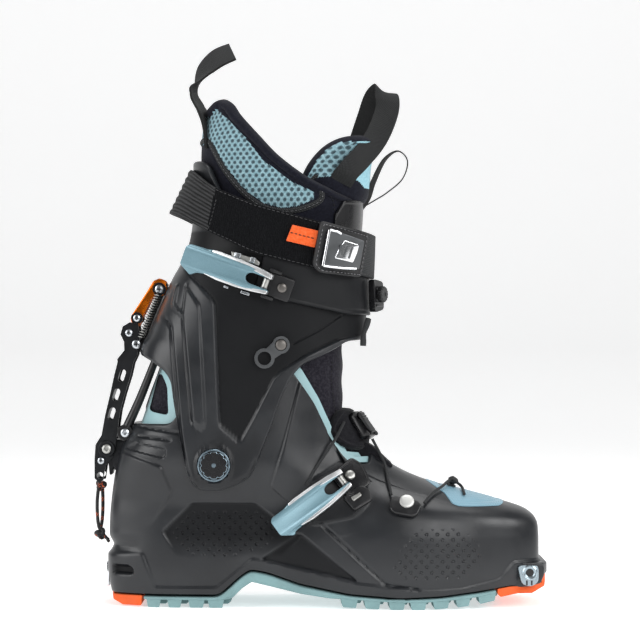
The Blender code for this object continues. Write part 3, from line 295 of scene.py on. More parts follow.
def knit_paint(name, color, fleck, scale=0.55):
    """Fine stretch fabric over foam."""
    paint = Paint(name, color, 0.88, 0.0, Sheen_Weight=0.08, Sheen_Roughness=0.5, Specular_IOR_Level=0.12)
    place = paint.vector("MULTIPLY", paint.place(), (1000, 1000, 1000))
    sway = paint.math("ADD", paint.axis(place, 0), paint.axis(place, 1))
    cross = paint.math("MULTIPLY", paint.stripes(sway, scale),
                       paint.stripes(paint.axis(place, 2), scale * 1.15))
    fuzz = paint.noise(700, 4)
    paint.drive("Base Color", paint.mix(paint.ramp(fuzz, 0.35, 0.75), color, fleck))
    paint.bump(cross, 0.00012, 0.5)
    paint.bump(paint.noise(260, 4), 0.0002, 0.35)
    return paint.material


def honeycomb_paint():
    """Spacer mesh: light blue threads round staggered holes that show the dark foam, painted darker towards
    each hole's middle as shade.
    """
    paint = Paint("honeycomb_mesh", (0.25, 0.42, 0.48), 0.75, 0.0, Sheen_Weight=0.1)
    hole = paint.dots(paint.uv(), 4.3, 6.0)
    edge = paint.ramp(hole, 0.95, 1.4)
    hole_shade = paint.ramp(hole, 0.35, 0.95)
    thread = paint.mix(paint.ramp(paint.noise(900, 3), 0.35, 0.7), (0.17, 0.31, 0.36), (0.27, 0.43, 0.48))
    # Painted shade: each hole darkens towards its middle, on top of the dark foam's own colour.
    dark = paint.mix(hole_shade, (0.022, 0.045, 0.055), (0.055, 0.11, 0.135))
    paint.drive("Base Color", paint.mix(edge, dark, thread))
    paint.bump(edge, 0.0009, 1.0)
    paint.bump(paint.noise(1400, 3), 0.0001, 0.5)
    return paint.material


def webbing_paint(name, color, fleck, pitch=1.1, slant=0.9, depth=0.00022):
    """A woven tape: diagonal ribs along its run."""
    paint = Paint(name, color, 0.78, 0.0, Sheen_Weight=0.04, Specular_IOR_Level=0.25)
    run = paint.uv()
    sway = paint.math("MULTIPLY_ADD", paint.axis(run, 1), slant, paint.axis(run, 0))
    rib = paint.stripes(sway, pitch)
    thread = paint.stripes(paint.axis(run, 1), pitch * 0.6)
    paint.drive("Base Color", paint.mix(paint.math("MULTIPLY", rib, thread), color, fleck))
    paint.bump(rib, depth, 0.8)
    paint.bump(thread, depth * 0.5, 0.6)
    return paint.material


def strap_paint():
    """Flat loop-pile band."""
    paint = Paint("pile_band", (0.006, 0.006, 0.007), 0.95, 0.0, Sheen_Weight=0.04, Sheen_Roughness=0.4,
                  Specular_IOR_Level=0.08)
    fuzz = paint.noise(1500, 5, 0.7)
    paint.drive("Base Color",
               paint.mix(paint.ramp(fuzz, 0.4, 0.75), (0.0032, 0.0034, 0.004), (0.013, 0.0135, 0.015)))
    paint.bump(fuzz, 0.0004, 0.8)
    paint.bump(paint.stripes(paint.axis(paint.uv(), 0), 1.3), 0.00025, 0.8)
    return paint.material


def elastic_paint():
    """Ribbed elastic."""
    paint = Paint("ribbed_elastic", (0.03, 0.03, 0.03), 0.8, 0.0, Sheen_Weight=0.04, Specular_IOR_Level=0.25)
    run = paint.uv()
    bend = paint.math("MULTIPLY_ADD", paint.noise(30, 2), 2.0, paint.axis(run, 1))
    rib = paint.stripes(bend, 2.1)
    thread = paint.stripes(paint.axis(run, 0), 0.8)
    paint.drive("Base Color", paint.mix(rib, (0.005, 0.005, 0.005), (0.042, 0.043, 0.045)))
    paint.bump(rib, 0.0006, 1.0)
    paint.bump(thread, 0.0001, 0.6)
    return paint.material


def cord_paint():
    """Braided black cord with orange flecks along it."""
    paint = Paint("braid", (0.012, 0.012, 0.012), 0.8, 0.0, Sheen_Weight=0.2)
    run = paint.uv()
    along, round_it = paint.axis(run, 0), paint.axis(run, 1)
    one = paint.stripes(paint.math("MULTIPLY_ADD", round_it, 1.0, along), 1.7)
    two = paint.stripes(paint.math("MULTIPLY_ADD", round_it, -1.0, along), 1.7)
    braid = paint.math("MAXIMUM", one, two)
    fleck = paint.math("MULTIPLY", paint.ramp(two, 0.72, 0.86),
                       paint.ramp(paint.stripes(along, 6.1), 0.5, 0.75))
    fleck = paint.math("MULTIPLY", fleck, paint.ramp(paint.noise(130, 2), 0.42, 0.5))
    paint.drive("Base Color", paint.mix(fleck, (0.012, 0.012, 0.013), (0.80, 0.13, 0.03)))
    paint.bump(braid, 0.0003, 0.9)
    return paint.material


def vamp_paint():
    """Light blue film over a fine mesh."""
    paint = Paint("vamp_film", (0.20, 0.36, 0.45), 0.42)
    dot = paint.dots(side_coords(paint), 1.6, 1.8)
    edge = paint.ramp(dot, 0.2, 0.5)
    paint.drive("Base Color", paint.mix(edge, (0.14, 0.27, 0.35), (0.215, 0.385, 0.475)))
    paint.bump(edge, 0.00012, 0.6)
    paint.worn(0.36, 0.5)
    return paint.material


def build_materials():
    """All materials by the short names that the pieces use."""
    return {
        "shell": shell_paint(),
        "black": plastic("black_plastic", (0.006, 0.006, 0.007), 0.36),
        "seat": plastic("black_gloss_plastic", (0.005, 0.005, 0.006), 0.27, 0.00002, 0.05),
        "lever": lever_paint(),
        "edge": metal("polished_edge", (0.90, 0.91, 0.92), 0.18, 0.28, 0.00001),
        "aqua": plastic("aqua_plastic", (0.33, 0.52, 0.55), 0.45),
        "sole": rubber_paint("sole_teal", (0.20, 0.335, 0.345)),
        "orange": rubber_paint("bumper_orange", (0.80, 0.11, 0.014)),
        "anodised": metal("anodised_orange", (0.86, 0.20, 0.012), 0.22, 0.34),
        "toe_steel": metal("toe_steel", (0.33, 0.40, 0.44), 0.26, 0.4),
        "ring_blue": metal("pivot_ring", (0.24, 0.31, 0.36), 0.28, 0.4),
        "zinc": metal("zinc_steel", (0.55, 0.58, 0.61), 0.22, 0.34),
        "satin": metal("satin_rivet", (0.62, 0.62, 0.6), 0.42, 0.52),
        "pewter": metal("brushed_pewter", (0.42, 0.42, 0.40), 0.32, 0.46),
        "coated": metal("coated_steel", (0.030, 0.031, 0.033), 0.34, 0.46),
        "chrome": metal("chrome", (0.83, 0.84, 0.86), 0.1, 0.18, 0.000004),
        "bright": metal("bright_alloy", (0.93, 0.94, 0.95), 0.3, 0.4, 0.000004),
        "liner": knit_paint("liner_navy_knit", (0.0052, 0.0055, 0.0105), (0.011, 0.012, 0.020)),
        "lining": knit_paint("inner_lining", (0.008, 0.008, 0.010), (0.016, 0.016, 0.019)),
        "binding": webbing_paint("dark_binding", (0.012, 0.013, 0.014), (0.055, 0.058, 0.060), 1.5, 1.0,
                                 0.0004),
        "mesh": honeycomb_paint(),
        "blue_cloth": knit_paint("light_blue_knit", (0.26, 0.49, 0.57), (0.36, 0.60, 0.67), 0.8),
        "webbing": webbing_paint("black_webbing", (0.008, 0.008, 0.008), (0.040, 0.043, 0.045)),
        "tape": webbing_paint("thin_tape", (0.012, 0.012, 0.012), (0.04, 0.04, 0.04), 0.8),
        "pile": strap_paint(),
        "elastic": elastic_paint(),
        "orange_cloth": knit_paint("orange_cloth", (0.74, 0.105, 0.022), (0.84, 0.16, 0.05), 0.7),
        "braid": cord_paint(),
        "lace": webbing_paint("lace_braid", (0.016, 0.017, 0.018), (0.06, 0.062, 0.064), 0.9),
        "thread": plastic("grey_thread", (0.20, 0.20, 0.21), 0.7),
        "dark_thread": plastic("dark_thread", (0.008, 0.008, 0.008), 0.8),
        "foam": knit_paint("footbed", (0.05, 0.055, 0.06), (0.08, 0.085, 0.09)),
        "thread_soft": plastic("dim_thread", (0.045, 0.045, 0.047), 0.8),
        "hide": plastic("black_backing", (0.009, 0.009, 0.010), 0.5, 0.0002),
        "gunmetal": metal("gunmetal", (0.12, 0.125, 0.13), 0.30, 0.42),
        "dark_pewter": metal("dark_pewter", (0.16, 0.15, 0.14), 0.35, 0.5),
        # A lighter blue for the levers' crease strip: a painted highlight.
        "lever_light": plastic("lever_crease", (0.42, 0.62, 0.68), 0.3, 0.00002, 0.04),
        "vamp": vamp_paint(),
        "teal_mesh": knit_paint("ankle_mesh", (0.010, 0.009, 0.014), (0.030, 0.028, 0.036), 1.4),
    }


# ---------------------------------------------------------------- mesh helpers

def piece_of(name, mesh, material, body, angle=35):
    """The object of a finished mesh in millimetres: shaded, painted and riding on its body."""
    mesh.transform(Matrix.Scale(MM, 4))
    mesh.shade_smooth()
    mesh.set_sharp_from_angle(angle=math.radians(angle))
    thing = bpy.data.objects.new(name, mesh)
    bpy.context.scene.collection.objects.link(thing)
    for one in material if isinstance(material, list) else [material]:
        mesh.materials.append(paints[one])
    if body:
        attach(thing, body)
    return thing


def tidy_mesh(bm, name, weld=0.002):
    """A mesh with its doubles welded and its faces turned outwards."""
    bmesh.ops.remove_doubles(bm, verts=bm.verts, dist=weld)
    bmesh.ops.recalc_face_normals(bm, faces=bm.faces)
    mesh = bpy.data.meshes.new(name)
    bm.to_mesh(mesh)
    bm.free()
    return mesh


def grid_mesh(name, rows, run, close_rows, close_columns, face_material=None):
    """A mesh over a grid of points, with its run coordinates; rows and columns may wrap round."""
    count_r, count_c = rows.shape[:2]
    r = np.arange(count_r if close_rows else count_r - 1)
    c = np.arange(count_c if close_columns else count_c - 1)
    rr, cc = (v.ravel() for v in np.meshgrid(r, c, indexing="ij"))
    corners_r = np.stack([rr, rr, rr + 1, rr + 1], 1)
    corners_c = np.stack([cc, cc + 1, cc + 1, cc], 1)
    index = (corners_r % count_r) * count_c + corners_c % count_c
    mesh = bpy.data.meshes.new(name)
    mesh.from_pydata(rows.reshape(-1, 3).tolist(), [], index.tolist())
    layer = mesh.uv_layers.new(name="run")
    layer.data.foreach_set("uv", run[corners_r.ravel(), corners_c.ravel()].astype(np.float32).ravel())
    if face_material is not None:
        mesh.polygons.foreach_set("material_index", face_material[rr, cc].astype(np.int32))
    bm = bmesh.new()
    bm.from_mesh(mesh)
    bpy.data.meshes.remove(mesh)
    return bm


def cap_ends(bm, count):
    """Closes both ends of a grid whose rows have that many points."""
    bm.verts.ensure_lookup_table()
    bm.faces.new(bm.verts[:count])
    bm.faces.new(bm.verts[-count:])


def run_along(points):
    """The distance run along a row of points."""
    return np.concatenate([[0], np.cumsum(np.linalg.norm(np.diff(points, axis=0), axis=1))])


def unit_rows(vectors):
    """Vectors brought to unit length."""
    return vectors / np.maximum(np.linalg.norm(vectors, axis=-1, keepdims=True), 1e-9)


def through(a, b, c, d, t):
    """The smooth curve from b to c, led by their neighbours."""
    return 0.5 * (2 * b + (c - a) * t + (2 * a - 5 * b + 4 * c - d) * t ** 2
                  + (3 * b - a - 3 * c + d) * t ** 3)


def smoothstep(value, low, high):
    t = np.clip((value - low) / (high - low), 0, 1)
    return t * t * (3 - 2 * t)


def edge_distance(outline, x, z, closed=True):
    """The distance from points to a side-view line."""
    points = np.array(outline, float)
    ends = np.roll(points, -1, 0) if closed else points[1:]
    starts = points if closed else points[:-1]
    best = np.full(np.shape(x), 1e9)
    for (ax, az), (bx, bz) in zip(starts, ends):
        dx, dz = bx - ax, bz - az
        t = np.clip(((x - ax) * dx + (z - az) * dz) / (dx * dx + dz * dz + 1e-12), 0, 1)
        best = np.minimum(best, np.hypot(x - ax - t * dx, z - az - t * dz))
    return best


def inside_distance(outline, x, z):
    """The signed distance to a closed side-view outline, positive inside."""
    points = np.array(outline, float)
    inside = np.zeros(np.shape(x), bool)
    for (ax, az), (bx, bz) in zip(points, np.roll(points, -1, 0)):
        if az == bz:
            continue
        crosses = ((az > z) != (bz > z)) & (x < (bx - ax) * (z - az) / (bz - az) + ax)
        inside ^= crosses
    return np.where(inside, 1, -1) * edge_distance(outline, x, z)


def rounded(points, radius, steps=6, closed=True):
    """A line with its corners replaced by short curves."""
    result = []
    count = len(points)
    for i in range(count):
        if not closed and i in (0, count - 1):
            result.append(tuple(points[i]))
            continue
        before, corner, after = (Vector(points[(i + k) % count]) for k in (-1, 0, 1))
        reach = min(radius, (before - corner).length * 0.48, (after - corner).length * 0.48)
        start = corner + (before - corner).normalized() * reach
        end = corner + (after - corner).normalized() * reach
        for k in range(steps + 1):
            f = k / steps
            point = start * (1 - f) ** 2 + corner * 2 * f * (1 - f) + end * f ** 2
            result.append(tuple(point))
    return result


def box(left, right, top, bottom, radius):
    """A rounded rectangle."""
    return rounded([(left, top), (right, top), (right, bottom), (left, bottom)], radius)


def step(outline, x, z, height, soft):
    """A raised or sunk side-view area."""
    return height * smoothstep(inside_distance(outline, x, z), -soft / 2, soft / 2)


def groove(line, x, z, depth, width):
    """A rounded channel along a side-view line; a negative depth makes a bead."""
    distance = edge_distance(line, x, z, False) / width
    return -depth * np.clip(1 - distance ** 2, 0, 1) ** 2


def edge_bead(outline, inset, height):
    """Relief for a fine line that follows an outline at an inset, raised or sunk."""
    def relief(x, y, z, normal):
        return height * np.exp(-((inside_distance(outline, x, z) - inset) / 0.5) ** 2)
    return relief


def hump(x, z, centre, radius, height, soft):
    """A raised round area."""
    return height * smoothstep(radius - np.hypot(x - centre[0], z - centre[1]), 0, soft)


# ---------------------------------------------------------------- the boot's own surfaces

FOOT_PLAN = [(-131, 33, 33), (-100, 37, 37), (-64, 38, 38), (-20, 40, 40), (20, 46, 45), (50, 50, 49),
             (75, 49, 49), (100, 44, 46), (120, 38, 42), (137, 31, 37)]
ANKLE_PLAN = [(-130, 34, 34), (-112, 39.5, 39.5), (-96, 41.8, 41.8), (-20, 41.8, 41.8), (10, 37, 37),
              (40, 31, 31), (137, 24, 28)]
SHELL_FLOOR = [(-132, 7.6), (-62, 7.6), (-50, 19), (-43, 24), (-32, 22), (-12, 15), (18, 9), (49, 6.8),
               (74, 8), (99, 11), (116, 13.4), (137, 14.5)]


def softened(table, column, spread):
    """A table read at every millimetre, its corners eased."""
    xs = np.arange(-170.0, 180.0, 1.0)
    values = np.interp(xs, [row[0] for row in table], [row[column] for row in table])
    reach = np.arange(-4 * spread, 4 * spread + 1)
    weights = np.exp(-0.5 * (reach / spread) ** 2)
    padded = np.pad(values, len(reach) // 2, mode="edge")
    return xs, np.convolve(padded, weights / weights.sum(), "valid")


class Surface:
    """A stack of tilted outlines round the boot, read at any level and angle.

    A row is back x, back z, front x, front z, width, back blunt, front blunt, scale, share above the floor.
    Width is the share of the ankle's plan for the shell, and half the width in millimetres elsewhere.
    """

    tables = {(name, side): softened(table, side, 5)
              for name, table in (("foot", FOOT_PLAN), ("ankle", ANKLE_PLAN)) for side in (1, 2)}
    floor_line = softened(SHELL_FLOOR, 1, 2)

    def __init__(self, rows, shell=False):
        self.rows = np.array([list(row) + [1.0, 1.0][len(row) - 7:] for row in rows], float)
        self.shell = shell

    def read(self, level):
        """The outline's values at levels, on a smooth curve through the rows."""
        last = len(self.rows) - 1
        level = np.clip(level, 0, last)
        k = np.minimum(level.astype(int), last - 1)
        t = (level - k)[..., None]
        a, b = self.rows[np.maximum(k - 1, 0)], self.rows[k]
        c, d = self.rows[k + 1], self.rows[np.minimum(k + 2, last)]
        return through(a, b, c, d, t)

    def at(self, level, angle, inset=0.0):
        """Points at levels and angles, 0 in front, positive on the lateral side."""
        level, angle = np.broadcast_arrays(np.asarray(level, float), np.asarray(angle, float))
        back_x, back_z, front_x, front_z, width, back_blunt, front_blunt, scale, share = np.moveaxis(
            self.read(level), -1, 0)
        s = (1 + np.cos(angle)) / 2
        x = back_x + inset + (front_x - back_x - 2 * inset) * s
        z = back_z + (front_z - back_z) * (x - back_x) / (front_x - back_x)
        if self.shell:
            share = np.clip(share, 0, 1)
            z = np.interp(x, *self.floor_line) * (1 - share) + z * share
        c = 2 * s - 1
        blunt = np.where(c > 0, front_blunt, back_blunt)
        end = np.maximum(0.0, 1 - np.abs(c) ** blunt) ** (1 / blunt)
        lateral = angle > 0
        if self.shell:
            def plan(name):
                return np.where(lateral, np.interp(x, *self.tables[name, 1]),
                                np.interp(x, *self.tables[name, 2]))
            width = plan("foot") * (1 - width) + plan("ankle") * width
        half = (width * scale - inset) * end
        return np.stack([x, np.where(lateral, -half, half), z], -1)

    def angles(self, level, count, reach=math.pi):
        """Angles that divide the outline at a level evenly."""
        blunt = self.read(np.array(float(level)))
        fine = [np.linspace(-math.pi, math.pi, 1441)]
        for value, turn in ((blunt[6], 0.0), (blunt[5], math.pi)):
            width = np.linspace(0, 1, 240)
            c = np.maximum(0, 1 - width ** value) ** (1 / value)
            near = np.arccos(np.clip(c, -1, 1))
            fine += [near if turn == 0 else math.pi - near, -near if turn == 0 else near - math.pi]
        fine = np.unique(np.concatenate(fine))
        fine = fine[np.abs(fine) <= reach + 1e-9]
        points = self.at(level, fine)
        run = run_along(points)
        if reach >= math.pi:
            return np.interp(np.linspace(0, run[-1], count, endpoint=False), run, fine)
        return np.interp(np.linspace(0, run[-1], count), run, fine)

    def find(self, x, z, side=LATERAL, inset=0.0):
        """The level and angle of the wall's point seen at (x, z) from the side."""
        x, z = np.broadcast_arrays(np.asarray(x, float), np.asarray(z, float))
        low, high = np.zeros(x.shape), np.full(x.shape, len(self.rows) - 1.0)
        for _ in range(26):
            middle = (low + high) / 2
            values = np.moveaxis(self.read(middle), -1, 0)
            back, front = values[0] + inset, values[2] - inset
            angle = -side * np.arccos(np.clip(2 * (x - back) / (front - back) - 1, -1, 1))
            below = self.at(middle, angle, inset)[..., 2] < z
            low, high = np.where(below, middle, low), np.where(below, high, middle)
        return (low + high) / 2, angle

    def point(self, x, z, side=LATERAL, inset=0.0):
        return self.at(*self.find(x, z, side, inset), inset)

    def frame(self, x, z, lift=0.0, turn=0.0, side=LATERAL):
        """A placing on the wall: local X along it towards the toe, local Z out of it."""
        here = Vector(self.point(x, z, side))
        along = Vector(self.point(x + 3, z, side) - self.point(x - 3, z, side)).normalized()
        up = Vector(self.point(x, z + 3, side) - self.point(x, z - 3, side)).normalized()
        out = (along.cross(up) if side == LATERAL else up.cross(along)).normalized()
        if side == MEDIAL:
            along = -along
        up = out.cross(along)
        made = Matrix((along, up, out)).transposed().to_4x4()
        made.translation = here + out * lift
        return made @ Matrix.Rotation(turn, 4, "Z")

    def within(self, angles, keep, start=0.0, stop=None, inset=0.0):
        """Each column's first and last level inside a side-view outline; a column outside it has none."""
        stop = len(self.rows) - 1.0 if stop is None else stop
        levels = np.linspace(start, stop, 500)
        points = self.at(levels[:, None], angles[None, :], inset)
        room = inside_distance(keep, points[..., 0], points[..., 2])
        low, high = np.full(len(angles), np.nan), np.full(len(angles), np.nan)
        for i in range(len(angles)):
            column = room[:, i]
            held = np.nonzero(column > 0)[0]
            if not len(held):
                continue
            first, last = held[0], held[-1]
            low[i], high[i] = levels[first], levels[last]
            if first > 0:
                f = column[first] / (column[first] - column[first - 1])
                low[i] = levels[first] + f * (levels[first - 1] - levels[first])
            if last < len(levels) - 1:
                f = column[last] / (column[last] - column[last + 1])
                high[i] = levels[last] + f * (levels[last + 1] - levels[last])
        return low, high


INNER_ROWS = 9


def normals_of(points, wraps):
    """Unit normals of a grid of points, out of the boot."""
    down = np.gradient(points, axis=0)
    if wraps:
        along = np.roll(points, -1, 1) - np.roll(points, 1, 1)
    else:
        along = np.gradient(points, axis=1)
    normal = unit_rows(np.cross(down, along))
    middle = points.mean((0, 1))
    if (normal * (points - middle)).sum(-1).mean() < 0:
        normal = -normal
    return normal


def paint_mask(mesh, mark, value):
    """Writes value(x, y, z) on the vertices, for the material to read."""
    co = np.zeros(len(mesh.vertices) * 3, np.float32)
    mesh.vertices.foreach_get("co", co)
    x, y, z = co.reshape(-1, 3).T
    layer = mesh.attributes.new(mark, "FLOAT", "POINT")
    layer.data.foreach_set("value", value(x, y, z).astype(np.float32))


def skin(name, surface, angles, low, high, thickness, material, body, rows=110, rim=None, relief=None,
         lift=0.0, wraps=True, pick=None, marks=None, round_sides=False, inset=0.0,
         shift=None, ease=0):
    """A wall of the given thickness on a surface between two levels, with rounded rims.

    relief(x, y, z, normal) raises its outer face, shift moves it all along X and Z, and ease softens the
    surface's own rings. pick gives each face's material, and marks its painted masks.
    """
    rim = thickness / 2 if rim is None else rim
    low, high = np.broadcast_to(low, angles.shape), np.broadcast_to(high, angles.shape)
    met = ~np.isnan(low)
    angles, low, high = angles[met], low[met], high[met]
    probe = surface.at(low + (high - low) * np.linspace(0, 1, 40)[:, None], angles[None, :], inset)
    length = np.maximum(np.linalg.norm(np.diff(probe, axis=0), axis=-1).sum(0), rim * 2.5)
    turn = np.array([0, 0.05, 0.2, 0.42, 0.7, 1.0])[:, None] * rim / length
    inner = np.linspace(0, 1, rows)[1:-1, None]
    share = np.concatenate([turn, rim / length + (1 - 2 * rim / length) * inner, 1 - turn[::-1]])
    base = surface.at(low + (high - low) * share, np.broadcast_to(angles, share.shape), inset)
    for _ in range(ease):
        base[7:-7] = (base[6:-8] + 2 * base[7:-7] + base[8:-6]) / 4
    normal = normals_of(base, wraps)
    base = base + normal * lift
    near = np.minimum(share, 1 - share) * length
    if round_sides:
        steps = np.linalg.norm(np.diff(base, axis=1), axis=-1)
        along = np.concatenate([np.zeros((len(base), 1)), np.cumsum(steps, 1)], 1)
        near = np.minimum(near, np.minimum(along, along[:, -1:] - along))
    gap = np.clip(rim - near, 0, rim)
    fall = (rim - np.sqrt(np.maximum(rim * rim - gap * gap, 0))) * (thickness / 2) / rim
    raised = relief(base[..., 0], base[..., 1], base[..., 2], normal) if relief else 0.0
    if relief:
        raised = raised * smoothstep(near, 0, max(rim, 0.8))
    outer_face = base + normal * (raised - fall)[..., None]
    inner_face = base - normal * (thickness - fall)[..., None]
    keep = sorted(set(range(6)) | set(np.linspace(5, len(share) - 6, INNER_ROWS).astype(int))
                  | set(range(len(share) - 6, len(share))))
    stack = np.concatenate([outer_face, inner_face[keep[1:-1]][::-1]])
    if shift:
        dx, dz = shift(stack[..., 0], stack[..., 1], stack[..., 2])
        stack = stack + np.stack([dx, np.zeros_like(dx), dz], -1)
    run_u = run_along(base[len(base) // 2])
    run_u = np.concatenate([run_u, [run_u[-1] + (run_u[-1] - run_u[-2])]])
    levels = np.concatenate([share, share[keep[1:-1]][::-1], share[:1]])
    run_v = levels * length
    run_v = np.concatenate([run_v, run_v[:, :1]], 1)
    run = np.stack([np.broadcast_to(run_u, run_v.shape), run_v], -1)
    chosen = None
    if pick:
        chosen = pick(stack[..., 0], stack[..., 1], stack[..., 2], np.arange(len(stack))[:, None] < len(share))
    bm = grid_mesh(name, stack, run, True, wraps, chosen)
    mesh = tidy_mesh(bm, name)
    for mark, value in (marks or {}).items():
        paint_mask(mesh, mark, value)
    return piece_of(name, mesh, material, body, 50)


SHELL = Surface([
    (-129, 46, 134.5, 44, 0, 5, 6, 0.93, 0), (-131.1, 46, 136.5, 44, 0, 5, 6, 0.99, 0.3),
    (-131.5, 46, 136.5, 44, 0, 5, 6, 1.0, 0.65), (-131.5, 46, 136.5, 44, 0, 5, 5.5, 0.99, 1),
    (-131.3, 55, 135.5, 52, 0.04, 4.8, 5, 0.975, 1), (-130.8, 62, 130, 58, 0.10, 4.5, 4, 0.96, 1),
    (-130.2, 68, 116, 63, 0.22, 4.3, 3.2, 0.96, 1), (-129.4, 74, 93, 69.5, 0.42, 4.2, 2.7, 0.97, 1),
    (-128.3, 81, 67, 76.5, 0.65, 4.1, 2.5, 0.98, 1), (-126.7, 89, 46, 86, 0.88, 4.0, 2.4, 1.0, 1),
    (-124.5, 97, 31.5, 98, 1, 3.8, 2.4, 1.0, 1), (-119.5, 106, 26, 112, 1, 3.4, 2.4, 0.995, 1),
    (-116, 116, 24, 126, 1, 3.0, 2.4, 0.985, 1), (-111, 131, 22, 140, 1, 2.8, 2.4, 0.975, 1),
    (-104.5, 149, 20, 155, 1, 2.6, 2.4, 0.965, 1)], shell=True)
CUFF = Surface([
    (-117, 62, 20, 62, ARM_OUTER, 5.5, 5.0), (-117, 110, 25, 112, ARM_OUTER, 4.6, 4.2),
    (-112.5, 156, 28, 152, ARM_OUTER, 3.4, 3.4), (-106, 172, 29, 168, ARM_OUTER + 0.1, 3.0, 3.0),
    (-94.5, 199, 29, 190, 47.3, 2.7, 2.7), (-86.5, 214, 28.5, 205, 48.3, 2.5, 2.5),
    (-81.5, 228, 29, 219, 49.3, 2.4, 2.4), (-79.5, 246, 30.5, 236, 50.0, 2.35, 2.35),
    (-79.6, 264, 31.5, 252, 50.5, 2.3, 2.3), (-79.6, 281, 32, 268, 50.5, 2.3, 2.3)])
LINER = Surface([
    (-96.5, 167, 14, 174, 40.5, 2.3, 2.3), (-90, 188, 18, 186, 42.0, 2.3, 2.3),
    (-81.5, 212, 22, 204, 43.3, 2.3, 2.3), (-76.5, 232, 23.5, 222, 44.0, 2.3, 2.3),
    (-75, 250, 24.5, 240, 44.5, 2.3, 2.3), (-74.5, 270, 25.5, 258, 45.0, 2.3, 2.3),
    (-74.5, 288, 27, 274, 45.5, 2.3, 2.3), (-71.5, 306, 30, 292, 46.0, 2.3, 2.3),
    (-66, 324, 33, 308, 46.0, 2.3, 2.3)])
ANKLE = Surface([
    (-117, 92, 29, 89.5, 30.5, 2.8, 2.4), (-115, 99, 23, 100, 31.0, 2.7, 2.3),
    (-110.5, 109, 15.5, 113, 31.5, 2.6, 2.2), (-106, 120, 14, 128, 32.0, 2.5, 2.2),
    (-101.5, 133, 14, 142, 32.3, 2.4, 2.2), (-96.5, 147, 14, 155, 32.6, 2.3, 2.2),
    (-95, 158, 14, 165, 36.0, 2.3, 2.2)])
STRAP = Surface([(-91.5, 236, 34, 205, 54.0, 2.5, 2.5), (-89, 250, 34.6, 218, 55.2, 2.5, 2.5),
                 (-86.5, 264, 35, 231, 55.2, 2.5, 2.5)])


# ---------------------------------------------------------------- small solids

def plate(name, outline, low, high, material, placing, body, bevel=0.3, segments=2, warp=None):
    """A flat outline in local XY between two heights, bevelled, warped in local space, then placed."""
    curve = bpy.data.curves.new(name, "CURVE")
    curve.dimensions = "2D"
    curve.fill_mode = "BOTH"
    curve.extrude = max((high - low) / 2 - bevel, 0.01)
    curve.bevel_depth = bevel
    curve.bevel_resolution = segments
    curve.offset = -bevel
    spline = curve.splines.new("POLY")
    spline.points.add(len(outline) - 1)
    for point, (u, v) in zip(spline.points, outline):
        point.co = (u, v, 0, 1)
    spline.use_cyclic_u = True
    flat = bpy.data.objects.new(name + "_outline", curve)
    bpy.context.scene.collection.objects.link(flat)
    mesh = bpy.data.meshes.new_from_object(flat.evaluated_get(bpy.context.evaluated_depsgraph_get()))
    bpy.data.objects.remove(flat, do_unlink=True)
    bpy.data.curves.remove(curve)
    mesh.transform(Matrix.Translation((0, 0, (high + low) / 2)))
    for vertex in mesh.vertices if warp else ():
        vertex.co = warp(vertex.co)
    mesh.transform(placing)
    bm = bmesh.new()
    bm.from_mesh(mesh)
    bpy.data.meshes.remove(mesh)
    return piece_of(name, tidy_mesh(bm, name, 0.001), material, body)


def side_view(y=0.0):
    """Local X to world +X, local Y to world +Z, local Z to world -Y."""
    return Matrix.Translation((0, y, 0)) @ Matrix(((1, 0, 0, 0), (0, 0, -1, 0), (0, 1, 0, 0), (0, 0, 0, 1)))


def turned(name, profile, material, placing, body, sides=40, wobble=None):
    """A turned piece about local Z: profile points (radius, height); wobble(angle) scales its radii."""
    angles = np.linspace(0, 2 * math.pi, sides, endpoint=False)
    scale = wobble(angles) if wobble else np.ones(sides)
    rows = np.array([[(r * s * math.cos(a), r * s * math.sin(a), h) for a, s in zip(angles, scale)]
                     for r, h in profile])
    run = np.zeros((len(profile) + 1, sides + 1, 2))
    run[..., 0] = np.arange(sides + 1) * profile[0][0] * 2 * math.pi / sides
    run[:-1, :, 1] = np.array([h for _, h in profile])[:, None]
    bm = grid_mesh(name, rows, run, False, True)
    bmesh.ops.transform(bm, matrix=placing, verts=bm.verts)
    bm.verts.ensure_lookup_table()
    for row in (0, len(profile) - 1):
        if profile[row][0] > 0.01:
            bm.faces.new([bm.verts[row * sides + i] for i in range(sides)])
    return piece_of(name, tidy_mesh(bm, name), material, body, 35)


def rivet(name, radius, height, material, placing, body, socket=0.0, dome=0.35):
    """A low round head; a socket is the radius of its six-sided hole."""
    edge = min(radius * 0.3, height * 0.7)
    profile = [(radius, 0), (radius, height - edge), (radius - edge * 0.35, height - edge * 0.3),
               (radius - edge, height)]
    profile += [(radius * 0.5, height + dome * 0.4), (0.001, height + dome * 0.5)]
    if socket:
        profile = profile[:4] + [(socket * 1.15, height + dome * 0.4), (socket, height), (socket, height - 1.2),
                                 (0.001, height - 1.3)]
    return turned(name, profile, material, placing, body)


def smooth_path(points, count):
    """A smooth curve through points, read at even steps."""
    guide = np.array(points, float)
    guide = np.concatenate([[2 * guide[0] - guide[1]], guide, [2 * guide[-1] - guide[-2]]])
    t = np.linspace(0, 1, 14, endpoint=False)[:, None]
    fine = []
    for a, b, c, d in zip(guide, guide[1:], guide[2:], guide[3:]):
        fine.append(through(a, b, c, d, t))
    fine = np.concatenate(fine + [guide[-2:-1]])
    run = run_along(fine)
    places = np.linspace(0, run[-1], count)
    return np.stack([np.interp(places, run, fine[:, k]) for k in range(fine.shape[1])], 1)


